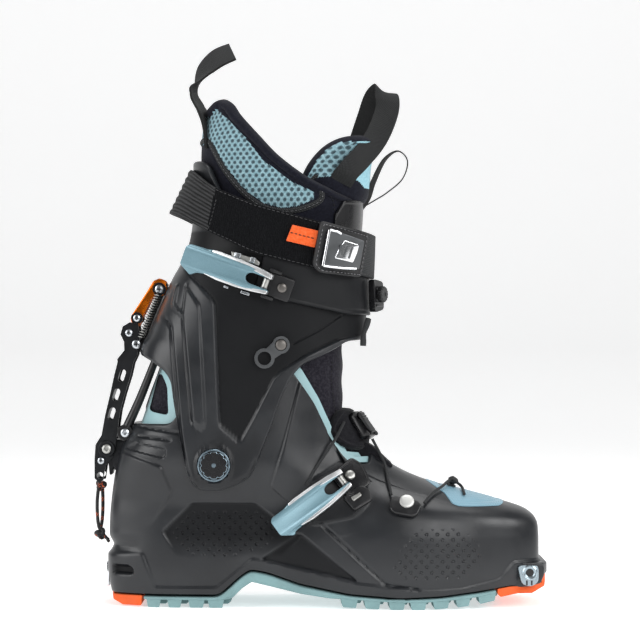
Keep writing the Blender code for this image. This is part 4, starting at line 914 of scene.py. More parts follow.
def tube(name, points, radius, material, body, sides=10, closed=False):
    """A round bar or wire along points, with run coordinates along and round it."""
    points = np.array(points, float)
    ahead = unit_rows(np.roll(points, -1, 0) - np.roll(points, 1, 0) if closed else np.gradient(points, axis=0))
    normal = np.cross(ahead[0], (0.3, 0.2, 0.93))
    rows = []
    radii = np.broadcast_to(radius, len(points))
    turn = np.linspace(0, 2 * math.pi, sides, endpoint=False)
    for place, way, r in zip(points, ahead, radii):
        normal = normal - way * (normal @ way)
        normal /= np.linalg.norm(normal)
        other = np.cross(way, normal)
        rows.append(place + r * (np.cos(turn)[:, None] * normal + np.sin(turn)[:, None] * other))
    run = run_along(points)
    run = np.append(run, run[-1] + 1)
    grid = np.zeros((len(points) + 1, sides + 1, 2))
    grid[..., 0] = run[:, None]
    grid[..., 1] = np.arange(sides + 1) * 2 * math.pi * float(np.mean(radii)) / sides
    bm = grid_mesh(name, np.array(rows), grid, closed, True)
    if not closed:
        cap_ends(bm, sides)
    return piece_of(name, tidy_mesh(bm, name, 0.0005), material, body, 50)


SELVEDGE_LOSS = 0.25


def ribbon(name, route, width, thickness, material, body, count, across):
    """A webbing strip with rounded selvedges: route holds (centre, width direction) pairs."""
    centres = smooth_path([c for c, _ in route], count)
    marks = np.array([c for c, _ in route], float)
    marks = run_along(marks)
    turns = unit_rows(np.array([w for _, w in route], float))
    share = np.linspace(0, marks[-1], count)
    sides = np.stack([np.interp(share, marks, turns[:, k]) for k in range(3)], 1)
    for _ in range(count // 3):
        sides[1:-1] = (sides[:-2] + 2 * sides[1:-1] + sides[2:]) / 4
    ahead = unit_rows(np.gradient(centres, axis=0))
    sides = unit_rows(sides - ahead * (sides * ahead).sum(1, keepdims=True))
    out = np.cross(ahead, sides)
    u = np.linspace(-1, 1, across)
    half = thickness / 2 * (1 - SELVEDGE_LOSS * np.abs(u) ** 8)
    section = [(a * width / 2, h) for a, h in zip(u, half)]
    section += [(a * width / 2, -h) for a, h in zip(u[::-1], half)]
    rows = np.stack([centres + sides * a + out * b for a, b in section], 1)
    run = run_along(centres)
    run = np.append(run, run[-1] + 1)
    grid = np.zeros((count + 1, len(section) + 1, 2))
    grid[..., 0] = run[:, None]
    grid[..., 1] = [a for a, _ in section] + [section[0][0]]
    bm = grid_mesh(name, rows, grid, False, True)
    cap_ends(bm, len(section))
    return piece_of(name, tidy_mesh(bm, name, 0.0005), material, body, 50), run[-2]


def line_on(surface, line, count, side=LATERAL, inset=0.0, lift=0.0):
    """A side-view line laid on a surface: its points and the directions along and out of it."""
    path = smooth_path(line, count)

    def near(dx, dz):
        return surface.point(path[:, 0] + dx, path[:, 1] + dz, side, inset)
    points = near(0, 0)
    out = unit_rows(np.cross(near(0.5, 0) - near(-0.5, 0), near(0, 0.5) - near(0, -0.5)))
    if side == MEDIAL:
        out = -out
    ahead = unit_rows(np.gradient(points, axis=0))
    return points + out * lift, ahead, out


def strip_on(name, surface, line, width, height, material, body, side=LATERAL, inset=0.0, count=160):
    """A low rounded strip laid on a surface along a side-view line."""
    points, ahead, out = line_on(surface, line, count, side, inset)
    across = np.cross(ahead, out)
    turn = np.linspace(0, 2 * math.pi, 14, endpoint=False)
    rows = np.stack([points + across * math.cos(a) * width / 2 + out * math.sin(a) * height for a in turn], 1)
    run = run_along(points)
    grid = np.zeros((count + 1, 15, 2))
    grid[:-1, :, 0] = run[:, None]
    grid[..., 1] = np.arange(15) * width / 7
    bm = grid_mesh(name, rows, grid, False, True)
    cap_ends(bm, 14)
    return piece_of(name, tidy_mesh(bm, name, 0.0005), material, body, 60)


def stitches(name, points, out, material, body, length=1.7, gap=1.1, radius=0.22):
    """A row of short thread stitches along points on a surface."""
    points, out = np.array(points, float), np.broadcast_to(out, np.shape(points))
    run = run_along(points)
    starts = np.arange(gap / 2, run[-1] - length, length + gap)
    verts, faces = [], []
    for start in starts:
        places = start + length * np.array([0.0, 0.15, 0.5, 0.85, 1.0])
        spots = np.stack([np.interp(places, run, points[:, k]) for k in range(3)], 1)
        up = np.array([np.interp(places[2], run, out[:, k]) for k in range(3)])
        way = spots[-1] - spots[0]
        across = np.cross(way, up)
        across /= np.linalg.norm(across)
        first = len(verts)
        for spot, lift, size in zip(spots, (-0.3, 0.35, 0.6, 0.35, -0.3), (0.3, 0.9, 1.0, 0.9, 0.3)):
            middle = spot + up * radius * lift
            verts += [tuple(middle + (across * math.cos(a) + up * math.sin(a)) * radius * size)
                      for a in np.arange(6) * math.pi / 3]
        for k in range(4):
            for i in range(6):
                j = (i + 1) % 6
                low, high = first + 6 * k, first + 6 * k + 6
                faces.append((low + i, low + j, high + j, high + i))
        faces += [tuple(range(first, first + 6)), tuple(range(first + 24, first + 30))]
    mesh = bpy.data.meshes.new(name)
    mesh.from_pydata(verts, [], faces)
    bm = bmesh.new()
    bm.from_mesh(mesh)
    bpy.data.meshes.remove(mesh)
    return piece_of(name, tidy_mesh(bm, name, 0.0005), material, body, 70)


def refined(node, material, body, bevel=0.4, segments=2, angle=35):
    """A CAD piece's own shape with eased edges and smooth round faces, in the node's place."""
    bm = bmesh.new()
    bm.from_mesh(nodes[node].data)
    bmesh.ops.scale(bm, vec=(1 / MM,) * 3, verts=bm.verts)
    bmesh.ops.remove_doubles(bm, verts=bm.verts, dist=0.004)
    bmesh.ops.dissolve_limit(bm, angle_limit=math.radians(1.2), verts=bm.verts, edges=bm.edges,
                             delimit={"NORMAL"})
    thing = piece_of(node + "_fine", tidy_mesh(bm, node, 0.004), material, body, angle)
    if bevel:
        modifier = thing.modifiers.new("edges", "BEVEL")
        modifier.width = bevel * MM
        modifier.segments = segments
        modifier.limit_method = "ANGLE"
        modifier.angle_limit = math.radians(38)
        modifier.harden_normals = True
    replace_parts(thing, node)
    return thing


# ---------------------------------------------------------------- lower shell

# How far the side reliefs are brought out, so that they read at the photo's size.
SHELL_GAIN, CUFF_GAIN = 1.45, 1.35
SOLE_BAND = [(-140, -5), (-140, 32.5), (-109.4, 33.5), (-103.2, 17.3), (-101.6, 12.7), (-63.8, 12.7),
             (-41.7, 30.8), (-12.3, 24.6), (6, 20.3), (23, 16.2), (40, 14), (67, 12.1), (87, 13.1), (110, 18.2),
             (119, 28.5), (145, 28.5), (145, -5)]
DIMPLE_PANEL = [(-96.7, 46.8), (-78.6, 64.5), (-40, 64.5), (-26.8, 55), (-12, 44), (-24, 33), (-60, 27),
                (-88, 33)]
REAR_FLARE = [(-145, 99), (-122.9, 95.2), (-97.5, 87), (-90.9, 70.6), (-103.2, 52.6), (-109, 44), (-145, 44)]
REAR_POCKET = [(-114.6, 101.6), (-95, 98), (-95, 93.7), (-96.8, 92.1), (-122.6, 98)]
INSTEP_RISE = [(-22.7, 99), (-30.1, 74.7), (-19.5, 65.3), (12, 44), (60, 60), (60, 130), (-10, 150)]
ARCH_WEDGE = [(-12.2, 46), (23.3, 16.9), (6, 20.9), (-12.3, 25.3), (-36, 30)]
PRINT_BAND = [(1, 52.1), (40.5, 14.9), (60, 12.6)]
BUCKLE_SEAT = [(-4, 79.5), (13.1, 88.6), (17.1, 88.6), (31.3, 67.4), (21.2, 56.3), (-6, 51)]
HEEL_SLOT = [(-127.5, 20.3), (-127.5, 25.3), (-117.5, 25.3), (-115, 23.4), (-115.4, 20.3)]
REAR_DIMPLES = [(-92, 46), (-80, 60), (-40, 61), (-30, 54), (-26, 47), (-33, 37), (-60, 30), (-82, 33)]
TOE_DIMPLES = [(43, 26), (50, 38), (58, 49), (85, 50), (97, 42), (100, 30), (90, 19), (64, 17), (50, 19)]
THROAT = [(-150, 113.5), (-92, 113.5), (-84, 124), (-72, 141), (-60, 147), (-19, 148), (-14, 142), (-4, 127),
          (3, 112), (9, 97), (14, 91), (21, 88.5), (31, 88.5), (33, 104), (45, 150), (45, 220), (-150, 220)]


def shell_relief(x, y, z, normal):
    """The mouldings of the lower shell."""
    flank = smoothstep(np.abs(normal[..., 1]), 0.3, 0.65)
    total = step(rounded(SOLE_BAND, 2), x, z, 1.1, 1.3)
    total = total - 2.6 * np.exp(-((z - 37.5) / 3.6) ** 2) * smoothstep(-x, 108, 124)
    side = step(rounded(DIMPLE_PANEL, 2), x, z, -0.9, 1.2) * smoothstep(z, 30, 50)
    side = side + step(rounded(REAR_FLARE, 2), x, z, 0.9, 1.3) * smoothstep(z, 46, 64)
    side = side + step(rounded(REAR_POCKET, 1), x, z, -1.1, 1.0)
    side = side + groove([(-116, 112), (-92, 108.5), (-84, 107)], x, z, 0.8, 1.4)
    side = side + groove([(-112, 105.5), (-92, 103.3)], x, z, 0.8, 1.2)
    side = side + step(rounded(INSTEP_RISE, 2), x, z, 0.9, 1.3) * smoothstep(26 - x, 0, 40)
    side = side + step(rounded(ARCH_WEDGE, 1.5), x, z, -1.1, 1.2)
    side = side + groove(rounded(PRINT_BAND, 3, closed=False), x, z, 0.9, 1.5)
    side = side + step(rounded(BUCKLE_SEAT, 4), x, z, 1.0, 1.4) * (y < 0)
    side = side + step(rounded(HEEL_SLOT, 1.2), x, z, -2.2, 0.9)
    return total + SHELL_GAIN * side * flank


def shell_panel(x, y, z):
    """Where the lower shell is dull and darker."""
    inner = smoothstep(inside_distance(DIMPLE_PANEL, x, z), -0.6, 0.8) * smoothstep(z, 30, 46)
    wedge = smoothstep(inside_distance(ARCH_WEDGE, x, z), -0.5, 0.6)
    seat = smoothstep(inside_distance(BUCKLE_SEAT, x, z), -0.5, 0.6) * (y < 0)
    slot = smoothstep(inside_distance(HEEL_SLOT, x, z), -0.4, 0.3)
    return np.clip(inner * 0.85 + wedge * 0.8 + seat * 0.6 + slot, 0, 1)


def shell_dimples(x, y, z):
    """Where the lower shell has small dimples."""
    return np.maximum(smoothstep(inside_distance(REAR_DIMPLES, x, z), 0, 3),
                      smoothstep(inside_distance(TOE_DIMPLES, x, z), 0, 3))


def build_shell():
    """The lower shell with its floor and toe welt."""
    angles = SHELL.angles(5, 600)
    levels = np.linspace(0, 14, 560)
    column = SHELL.at(levels[:, None], angles[None, :])
    past = inside_distance(rounded(THROAT, 4), column[..., 0], column[..., 2])
    high = np.zeros(len(angles))
    for i in range(len(angles)):
        k = int(np.argmax(past[:, i] > 0))
        high[i] = levels[k - 1] - (levels[k] - levels[k - 1]) * past[k - 1, i] / (past[k, i] - past[k - 1, i])
    body = skin("shell_body", SHELL, angles, 0.0, high, 4.0, "shell", "root", rows=150, rim=1.5,
                relief=shell_relief, ease=16, marks={"panel": shell_panel, "dimple": shell_dimples})
    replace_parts(body, "lower_shell")
    bottom_cap()
    upright = Matrix.Identity(4)
    welt = rounded([(108, -33.0), (136, -32.2), (141.0, -22), (141.0, 24), (136, 34.6), (108, 35.4)], 5)
    plate("toe_welt", welt, 19.8, 27.4, "shell", upright, "root", bevel=1.5, segments=4)
    cheek = rounded([(110, 12.0), (112.5, 19), (118.0, 27.2), (136.8, 27.2), (138.4, 24), (138.2, 20),
                     (136, 14.8), (128, 12.6)], 1.6)
    plate("toe_cheek", cheek, -35.2, 32.6, "shell", side_view(), "root", bevel=1.1, segments=3)


def bottom_cap():
    """The shell's floor under the foot."""
    run = np.linspace(0.02, math.pi - 0.02, 160)
    near, far = SHELL.at(0.1, run, 0.6), SHELL.at(0.1, -run, 0.6)
    across = np.linspace(0, 1, 9)[:, None, None]
    low = near * (1 - across) + far * across
    rows = np.concatenate([low, (low + np.array((0, 0, 3.0)))[::-1]])
    bm = grid_mesh("shell_floor", rows, np.zeros((19, 161, 2)), True, False)
    piece_of("shell_floor", tidy_mesh(bm, "shell_floor"), "shell", "root")


# ---------------------------------------------------------------- cuff

BAND_SHADE = 0.75
CUFF_EDGE = [(-130, 158), (-112, 155.5), (-103, 151), (-95, 145), (-91.5, 139), (-90, 128), (-86.5, 108),
             (-82.5, 87.5), (-79.5, 77.5), (-74, 73), (-62, 72.5), (-50, 76.5), (-42.6, 80.8), (-38.4, 89.9),
             (-30.5, 110), (-24.4, 128), (-17.7, 142), (-11, 149.5), (0, 154.5), (11, 160), (17, 164),
             (45, 166), (45, 212), (26, 213.5), (-10, 222), (-45, 236), (-56, 244), (-63, 258), (-70, 273),
             (-76, 276), (-90, 275), (-130, 270)]
CUFF_LINE = [(-83.2, 208), (-67, 191), (-64.4, 187), (-61.2, 113.2), (-49.1, 103.3), (-41.9, 115.9),
             (-28.7, 141.6), (-23.2, 146.5), (-7.6, 156), (11, 164.5)]
CUFF_PANEL = CUFF_LINE + [(40, 170), (40, 232), (-83, 232)]
CUFF_RIB = [(-84.1, 179.4), (-77.8, 113.8), (-74.7, 110.5), (-70.0, 112.8), (-73.8, 185.7), (-82.3, 198.3)]
REAR_LINE = [(-99, 180.5), (-95.3, 177.6), (-91.6, 172.5), (-89.4, 151.7), (-82.6, 84)]
REAR_CREASE = [(-88.2, 198), (-90.4, 186), (-84.6, 180)]
OVERLAP_LINE = [(14, 179.5), (-0.6, 170.3), (-16, 162.6)]


def cuff_relief(x, y, z, normal):
    """The mouldings of the cuff."""
    flank = smoothstep(np.abs(normal[..., 1]), 0.3, 0.65)
    side = step(rounded(CUFF_PANEL, 2.5), x, z, -1.2, 1.6) * smoothstep(206 - z, 0, 14)
    side = side + groove(rounded(CUFF_LINE, 2.5, closed=False), x, z, 0.5, 1.3)
    side = side + step(rounded(CUFF_RIB, 2), x, z, 1.1, 1.5)
    side = side + groove(rounded(CUFF_RIB[-1:] + CUFF_RIB[:3], 2, closed=False), x, z, 0.7, 1.5)
    side = side + groove(rounded(REAR_LINE, 2, closed=False), x, z, 0.9, 1.5)
    side = side + groove(rounded(REAR_CREASE, 1.5, closed=False), x, z, -0.9, 1.8)
    side = side + groove(OVERLAP_LINE, x, z, 0.55, 1.0)
    side = side + hump(x, z, (PIVOT_X, PIVOT_Z), 12.4, 1.1, 1.4)
    side = side - hump(x, z, (PIVOT_X, PIVOT_Z), 10.2, 1.5, 1.0)
    lobe = edge_distance(CUFF_EDGE[5:14], x, z, False)
    side = side - 0.9 * smoothstep(2.6 - lobe, 0, 1.4)
    return CUFF_GAIN * side * flank


def cuff_panel(x, y, z):
    """Where the cuff is dull and darker."""
    return 0.92 * smoothstep(inside_distance(CUFF_PANEL, x, z), -0.7, 0.9) + 0.4 * smoothstep(
        inside_distance([(-82.5, 87.5), (-61.2, 112), (-49.1, 102), (-40, 110), (-30, 100), (-38, 72),
                         (-82, 70)],
                        x, z), -3, 8)


def no_mark(x, y, z):
    """An empty mask."""
    return np.zeros(len(x))


def build_cuff():
    """The cuff, the band over its overlap and its two pivots."""
    angles = CUFF.angles(2.5, 660)
    low, high = CUFF.within(angles, rounded(CUFF_EDGE, 4))
    body = skin("cuff_body", CUFF, angles, low, high, 3.4, "shell", "cuff", rows=150, rim=1.3,
                relief=cuff_relief, marks={"panel": cuff_panel, "dimple": no_mark})
    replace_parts(body, "cuff_shell")
    edge = [(-45, 196), (-34, 191.6), (15, 180.6), (45, 179), (45, 203.5), (34, 204.0), (10, 207.0), (-12, 212),
            (-45, 222)]
    angles = np.linspace(math.radians(97), math.radians(-84), 320)
    low, high = CUFF.within(angles, rounded(edge, 3), 3.0, 7.6)

    def lip(x, y, z, normal):
        seam = 0.3 * np.exp(-((edge_distance(edge[:4], x, z, False) - 2.6) / 0.7) ** 2)
        return groove(edge[:4], x, z, -0.5, 1.6) - seam
    band = skin("cuff_band_fine", CUFF, angles, low, high, 2.2, "shell", "cuff", rows=50, rim=0.9, lift=2.6,
                relief=lip, wraps=False, round_sides=True,
                marks={"panel": lambda x, y, z: np.full(len(x), BAND_SHADE), "dimple": no_mark})
    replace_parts(band, "cuff_band")
    for side, name in SIDES:
        build_pivot(side, name)


def pivot_placing(side, y):
    """A placing on the cuff's pivot that faces out of the boot."""
    turn = Matrix.Rotation(math.radians(90 if side == LATERAL else -90), 4, "X")
    return Matrix.Translation((PIVOT_X, side * y, PIVOT_Z)) @ turn


def build_pivot(side, name):
    """The cuff's pivot: a light ring round a scalloped black insert with a small centre hole."""
    at = pivot_placing(side, ARM_OUTER)
    ring = turned("pivot_rim_" + name, [(9.9, 0.2), (9.9, 1.7), (9.5, 2.1), (9.0, 2.1), (8.7, 1.7), (8.7, 0.2)],
                  "ring_blue", at, "cuff", 72)
    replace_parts(ring, "pivot_ring_" + name)
    teeth = 10

    def scallop(a):
        return 1 - 0.13 * np.clip(np.cos(teeth * a) - 0.45, 0, 1) ** 0.5
    turned("pivot_scallop_" + name, [(8.45, 0.2), (8.45, 1.9), (8.2, 2.0), (0.01, 2.0)], "ring_blue", at,
           "cuff", 160, scallop)
    turned("pivot_insert_" + name, [(8.1, 0.2), (8.1, 2.0), (7.7, 2.4), (1.5, 2.4), (1.2, 1.5), (0.01, 1.5)],
           "seat", at, "cuff", 160, scallop)
    turned("pivot_bed_" + name, [(9.0, 0.1), (9.0, 0.9), (0.01, 0.9)], "black", at, "cuff", 72)
    rivet("pivot_pin_" + name, 1.1, 0.5, "pewter", at @ Matrix.Translation((0, 0, 1.2)), "cuff")
    nodes["pivot_bush_" + name].data.materials.clear()
    nodes["pivot_bush_" + name].data.materials.append(paints["black"])


# ---------------------------------------------------------------- sole

def sole_tip(x):
    """The height of the tread's tips above the ground."""
    return np.interp(x, [-131, -120, -107, -60, 5, 25, 42, 65, 90, 112, 125],
                     [2.5, 0.6, 0.05, 0.05, 1.6, 0.8, 0.05, 0.05, 1.8, 5.4, 8.5])


def foot_edge(x, side, scale=0.97, inset=0.0):
    """The sole's half width at x."""
    plan = np.interp(x, *Surface.tables["foot", 1 if side == LATERAL else 2])
    c = 2 * (x + 130.5) / 266 - 1
    blunt = np.where(c > 0, 6.0, 5.0)
    return plan * scale * np.maximum(0.0, 1 - np.abs(c) ** blunt) ** (1 / blunt) - inset


def sole_base(x):
    """The height of the sole's underside between the lugs."""
    return np.interp(x, [-109, -60, -54, -48, -42, -12, 6, 14, 45, 66, 90, 108],
                     [4.6, 4.3, 5.5, 11.5, 15.5, 8.5, 6.0, 5.8, 4.3, 4.3, 6.0, 8.6])


def build_sole():
    """The rubber outsole: a rounded slab under the shell and a tread of separate lugs."""
    xs = np.linspace(-108.6, 107.6, 260)
    top = np.interp(xs, *Surface.floor_line) - 0.8
    base = np.minimum(sole_base(xs), top - 1.0)
    turn = np.linspace(0, 2 * math.pi, 64, endpoint=False)
    u = np.sign(np.cos(turn)) * np.abs(np.cos(turn)) ** 0.18
    v = np.sign(np.sin(turn)) * np.abs(np.sin(turn)) ** 0.4
    lateral, medial = foot_edge(xs, LATERAL), foot_edge(xs, MEDIAL)
    y = np.where(u[:, None] < 0, u[:, None] * lateral, u[:, None] * medial)
    z = (top + base) / 2 + v[:, None] * (top - base) / 2
    rows = np.stack([np.broadcast_to(xs, y.shape), y, z], -1).transpose(1, 0, 2)
    bm = grid_mesh("sole_slab", rows, np.zeros((261, 65, 2)), False, True)
    cap_ends(bm, 64)
    slab = piece_of("sole_slab", tidy_mesh(bm, "sole_slab"), "sole", "root", 50)
    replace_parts(slab, "outsole")
    lugs = [(-106, -99), (-93, -86), (-80, -72), (-68, -60), (14, 22), (28, 36), (43, 51), (56, 64), (70, 78),
            (84, 91), (98, 107)]
    for number, (start, end) in enumerate(lugs):
        for side, name in SIDES:
            lug(f"lug_{name}_{number}", start, end, side, 0.55, 1.0, slant=-1.5)
            lug(f"lug_inner_{name}_{number}", start + 1.5, end + 1.0, side, 0.10, 0.42, slant=3.0)


def lug(name, start, end, side, inner, outer, slant):
    """One tread block: wider at its root, its tip on the tread's line."""
    def ring(spread, depth):
        points = []
        for x, share in ((start - spread, outer), (end + spread, outer), (end + spread, inner),
                         (start - spread, inner)):
            edge = foot_edge(np.clip(x, -108, 107), side, 0.965, 0.2)
            edge = edge * share + (0.0 if share == 1.0 else spread * (1 if share > inner else -1))
            lean = slant * (1 - share) * 1.2
            here = x + lean
            z = float(sole_tip(here)) + depth
            points.append((here, side * edge, z))
        return points
    rows = [ring(0.0, 0.0), ring(0.15, 0.5), ring(0.9, 4.4), ring(0.9, 6.2)]
    rows[0] = [(x + (0.35 if k in (0, 3) else -0.35), y - side * (0.35 if k < 2 else -0.35), z)
               for k, (x, y, z) in enumerate(rows[0])]
    bm = grid_mesh(name, np.array(rows), np.zeros((5, 5, 2)), False, True)
    cap_ends(bm, 4)
    piece_of(name, tidy_mesh(bm, name), "sole", "root", 30)


# ---------------------------------------------------------------- liner

BODIES = {node: body for body, members in frame["record"]["behaviour"]["bodies"].items() for node in members}
COLLAR_LINE = [(-80, 303), (-70, 309), (-63, 314.5), (-56, 311), (-50, 303), (-38, 290.5), (-25, 277.5),
               (-9, 266), (5, 259), (19, 253.5), (45, 249)]
HONEYCOMB = [(-90, 302), (-68.5, 302.5), (-63.7, 306.5), (-48.4, 291.5), (-34.9, 274.5), (-18.4, 261.5),
             (-3.5, 254.8), (-3.5, 250.5), (-12.2, 246.6), (-22, 244.8), (-34.9, 247.8), (-46.5, 257.0),
             (-58.2, 271.3), (-66.1, 286.2), (-90, 285)]
BINDING_LINE = [(1.2, 257), (0.2, 250.5), (-9, 245.6), (-21.5, 243.4), (-35.6, 246.6), (-47.6, 255.8),
                (-59.4, 270.4), (-67.6, 285.4), (-71.5, 288.5), (-74.3, 288)]
TONGUE_LINE = [(-60, 200), (-24, 215), (-16, 250), (-10, 266), (-4, 277), (3, 286), (11, 290.5), (24, 291),
               (40, 291)]
TONGUE_MESH = [(-14, 258), (-8, 264), (-1, 276), (6, 283), (14, 286.3), (24, 287), (50, 287), (50, 256),
               (28, 258.5), (24.5, 262.5), (14, 266), (-3.7, 264.6), (-10, 260)]
TONGUE_BINDING = [(-10, 261), (-3.7, 265), (5, 266.8), (14, 266.4), (20, 264.8), (24.5, 261.5), (27, 257)]


def rolled_edge(line, width, height):
    """Relief for a stuffed roll along a rim."""
    fine = smooth_path(line, 90)

    def relief(x, y, z, normal):
        near = edge_distance(fine, x, z, False)
        roll = height * np.sqrt(np.clip(1 - ((near - width / 2) / (width / 2)) ** 2, 0, 1))
        seam = -0.5 * np.exp(-((near - width - 0.3) / 0.5) ** 2)
        soft = 0.22 * np.sin(x * 0.19 + z * 0.11) * np.sin(z * 0.23 - x * 0.07)
        return roll + seam + soft
    return relief


def tongue_lean(x, y, z):
    """The tongue's top leans forward of the shaft."""
    return 13.0 * smoothstep(z, 234, 256) * smoothstep(x, -10, 18), np.zeros_like(x)


def build_liner():
    """The padded liner: a rolled collar over spacer mesh, dark side panels and a stitched tongue."""
    angles = LINER.angles(4, 500)
    keep = [(-130, 150), (-130, 303)] + [tuple(p) for p in smooth_path(COLLAR_LINE, 90)] + [(45, 150)]
    low, high = LINER.within(angles, keep)

    def collar_looks(x, y, z, outer):
        mesh = inside_distance(HONEYCOMB, x, z) > 0
        return np.where(~(outer & np.ones_like(mesh)), 2, np.where(mesh, 1, 0))
    cuff = skin("liner_cuff_fabric", LINER, angles, low, high, 7.0, ["liner", "mesh", "lining"], "cuff",
                rows=120, rim=3.4, relief=rolled_edge(COLLAR_LINE, 5.2, 1.5), pick=collar_looks)
    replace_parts(cuff, "liner_cuff")
    angles = LINER.angles(4, 320, math.radians(82))
    keep = [(-60, 100)] + [tuple(p) for p in smooth_path(TONGUE_LINE, 90)] + [(40, 100)]
    low, high = LINER.within(angles, keep, 0.4, 7.9, 7.4)

    def tongue_looks(x, y, z, outer):
        mesh = inside_distance(TONGUE_MESH, x, z) > 0
        face = np.where(x > 22.5, 3, 1)
        return np.where(~(outer & np.ones_like(mesh)), 2, np.where(mesh, face, 0))
    tongue = skin("liner_tongue_fabric", LINER, angles, low, high, 6.5,
                  ["liner", "mesh", "lining", "blue_cloth"], BODIES["liner_tongue"], rows=120, rim=3.1,
                  relief=rolled_edge(TONGUE_LINE[3:], 4.4, 1.2), wraps=False, round_sides=True,
                  pick=tongue_looks, inset=7.4, shift=tongue_lean)
    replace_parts(tongue, "liner_tongue")
    for side, name in SIDES:
        strip_on("collar_binding_" + name, LINER, BINDING_LINE, 3.8, 1.0, "binding", "cuff", side, count=200)
        strip_on("tongue_binding_" + name, LINER, TONGUE_BINDING, 3.2, 0.9, "binding", BODIES["liner_tongue"],
                 side, 7.4, 120)
        points, _, out = line_on(LINER, [(4, 255.5), (8, 250), (9, 240), (9.5, 226)], 120, side, lift=0.15)
        stitches("panel_seam_" + name, points, out, "dark_thread", "cuff")
        points, _, out = line_on(LINER, BINDING_LINE, 200, side, lift=0.95)
        stitches("binding_stitches_" + name, points, out, "thread", "cuff", 1.2, 1.6, 0.13)
    ankle = skin("liner_ankle_fabric", ANKLE, ANKLE.angles(3, 320), 0.0, 6.0, 3.0, "teal_mesh",
                 BODIES["liner_ankle"], rows=90, rim=1.2, relief=ankle_relief, shift=ankle_shift)
    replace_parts(ankle, "liner_ankle")
    for side, name in SIDES:
        points, _, out = line_on(ANKLE, [(7.5, 152), (7.0, 140), (8.5, 126), (13, 108)], 120, side, lift=0.2)
        stitches("ankle_seam_" + name, points, out, "dark_thread", BODIES["liner_ankle"])
    foot = refined("liner_foot", "lining", BODIES["liner_foot"], 0.0, angle=60)


TRIM_OUTLINE = [(-13, 147), (-4.4, 125), (0, 119), (8, 112.3), (6.6, 107), (10.4, 99.6), (15.1, 95.8),
                (27.3, 94.2), (28.3, 89), (8, 86), (-12, 116)]


def build_throat_trim():
    """The light blue lip that shows between the shell and the liner beside the instep."""
    angles = ANKLE.angles(1.2, 300, math.radians(80))
    low, high = ANKLE.within(angles, rounded(TRIM_OUTLINE, 1.2), 0.0, 5.2, -1.6)
    skin("throat_trim", ANKLE, angles, low, high, 1.2, "aqua", BODIES["shell_collar"], rows=50, rim=0.5,
         wraps=False, round_sides=True, inset=-1.6)


def ankle_shift(x, y, z):
    """The ankle's back stands out behind, inside the rear window."""
    return -4.6 * smoothstep(-x, 74, 98) * smoothstep(z, 112, 124) * smoothstep(158 - z, 0, 10), 0 * x


def ankle_relief(x, y, z, normal):
    """Soft folds and a seam in the liner's ankle."""
    fold = 0.35 * np.sin(z * 0.33 + x * 0.2) * smoothstep(x, -20, 10)
    return fold - 0.5 * np.exp(-((x - 6.5 - 0.02 * (140 - z)) / 0.8) ** 2)


PAD_OUTLINE = [(11.7, 121.5), (7, 113), (6.4, 106.5), (10.5, 101.2), (17, 97.4), (26, 96.6), (45, 97),
               (45, 121.5)]


def pad_shift(x, y, z):
    """The pad bulges forward under the tensioner."""
    return smoothstep(x, 6, 21) * np.interp(z, [96, 101, 107, 113, 121], [1.0, 4.5, 8.0, 6.5, 2.0]), 0 * x


def build_pad():
    """The padded cover over the instep, with a corded border."""
    angles = ANKLE.angles(1.6, 240, math.radians(58))
    low, high = ANKLE.within(angles, rounded(PAD_OUTLINE, 4), 0.3, 3.1, -4.2)

    def border(x, y, z, normal):
        near = inside_distance(rounded(PAD_OUTLINE, 4), x, z)
        return 0.55 * np.exp(-((near - 1.3) / 0.6) ** 2) - 0.25 * np.exp(-((near - 2.8) / 0.5) ** 2)
    pad = skin("instep_pad_fabric", ANKLE, angles, low, high, 3.4, "lining", BODIES["instep_pad"], rows=60,
               rim=1.4, relief=border, wraps=False, round_sides=True, inset=-4.2, shift=pad_shift)
    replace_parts(pad, "instep_pad")
    gusset = rounded([(10, 112), (22, 104.5), (33.5, 98.0), (42, 89.7), (46, 86.2), (43, 82), (30, 84),
                      (14, 92)], 2)
    plate("throat_gusset", dense(gusset), -13.0, 13.0, "lining", side_view(), BODIES["instep_pad"], 2.0,
          segments=4)


# ---------------------------------------------------------------- strap, loops and tongue guard

def strap_set(x, y, z):
    """The strap as worn: high behind, lower and wider along the sides."""
    behind = smoothstep(-x, 60, 90)
    side = smoothstep(x, -70, -35) * (1 - 0.6 * smoothstep(x, 5, 30))
    low = np.clip((np.interp(x, [-90, 34], [262, 231]) - z) / 28, 0, 1)
    return 0.3 * (z - 246) * behind, 7.5 * behind - side * (3.6 + 2.6 * low)


def worn_points(points):
    """Points moved as the strap is."""
    dx, dz = strap_set(points[:, 0], points[:, 1], points[:, 2])
    return points + np.stack([dx, np.zeros_like(dx), dz], 1)


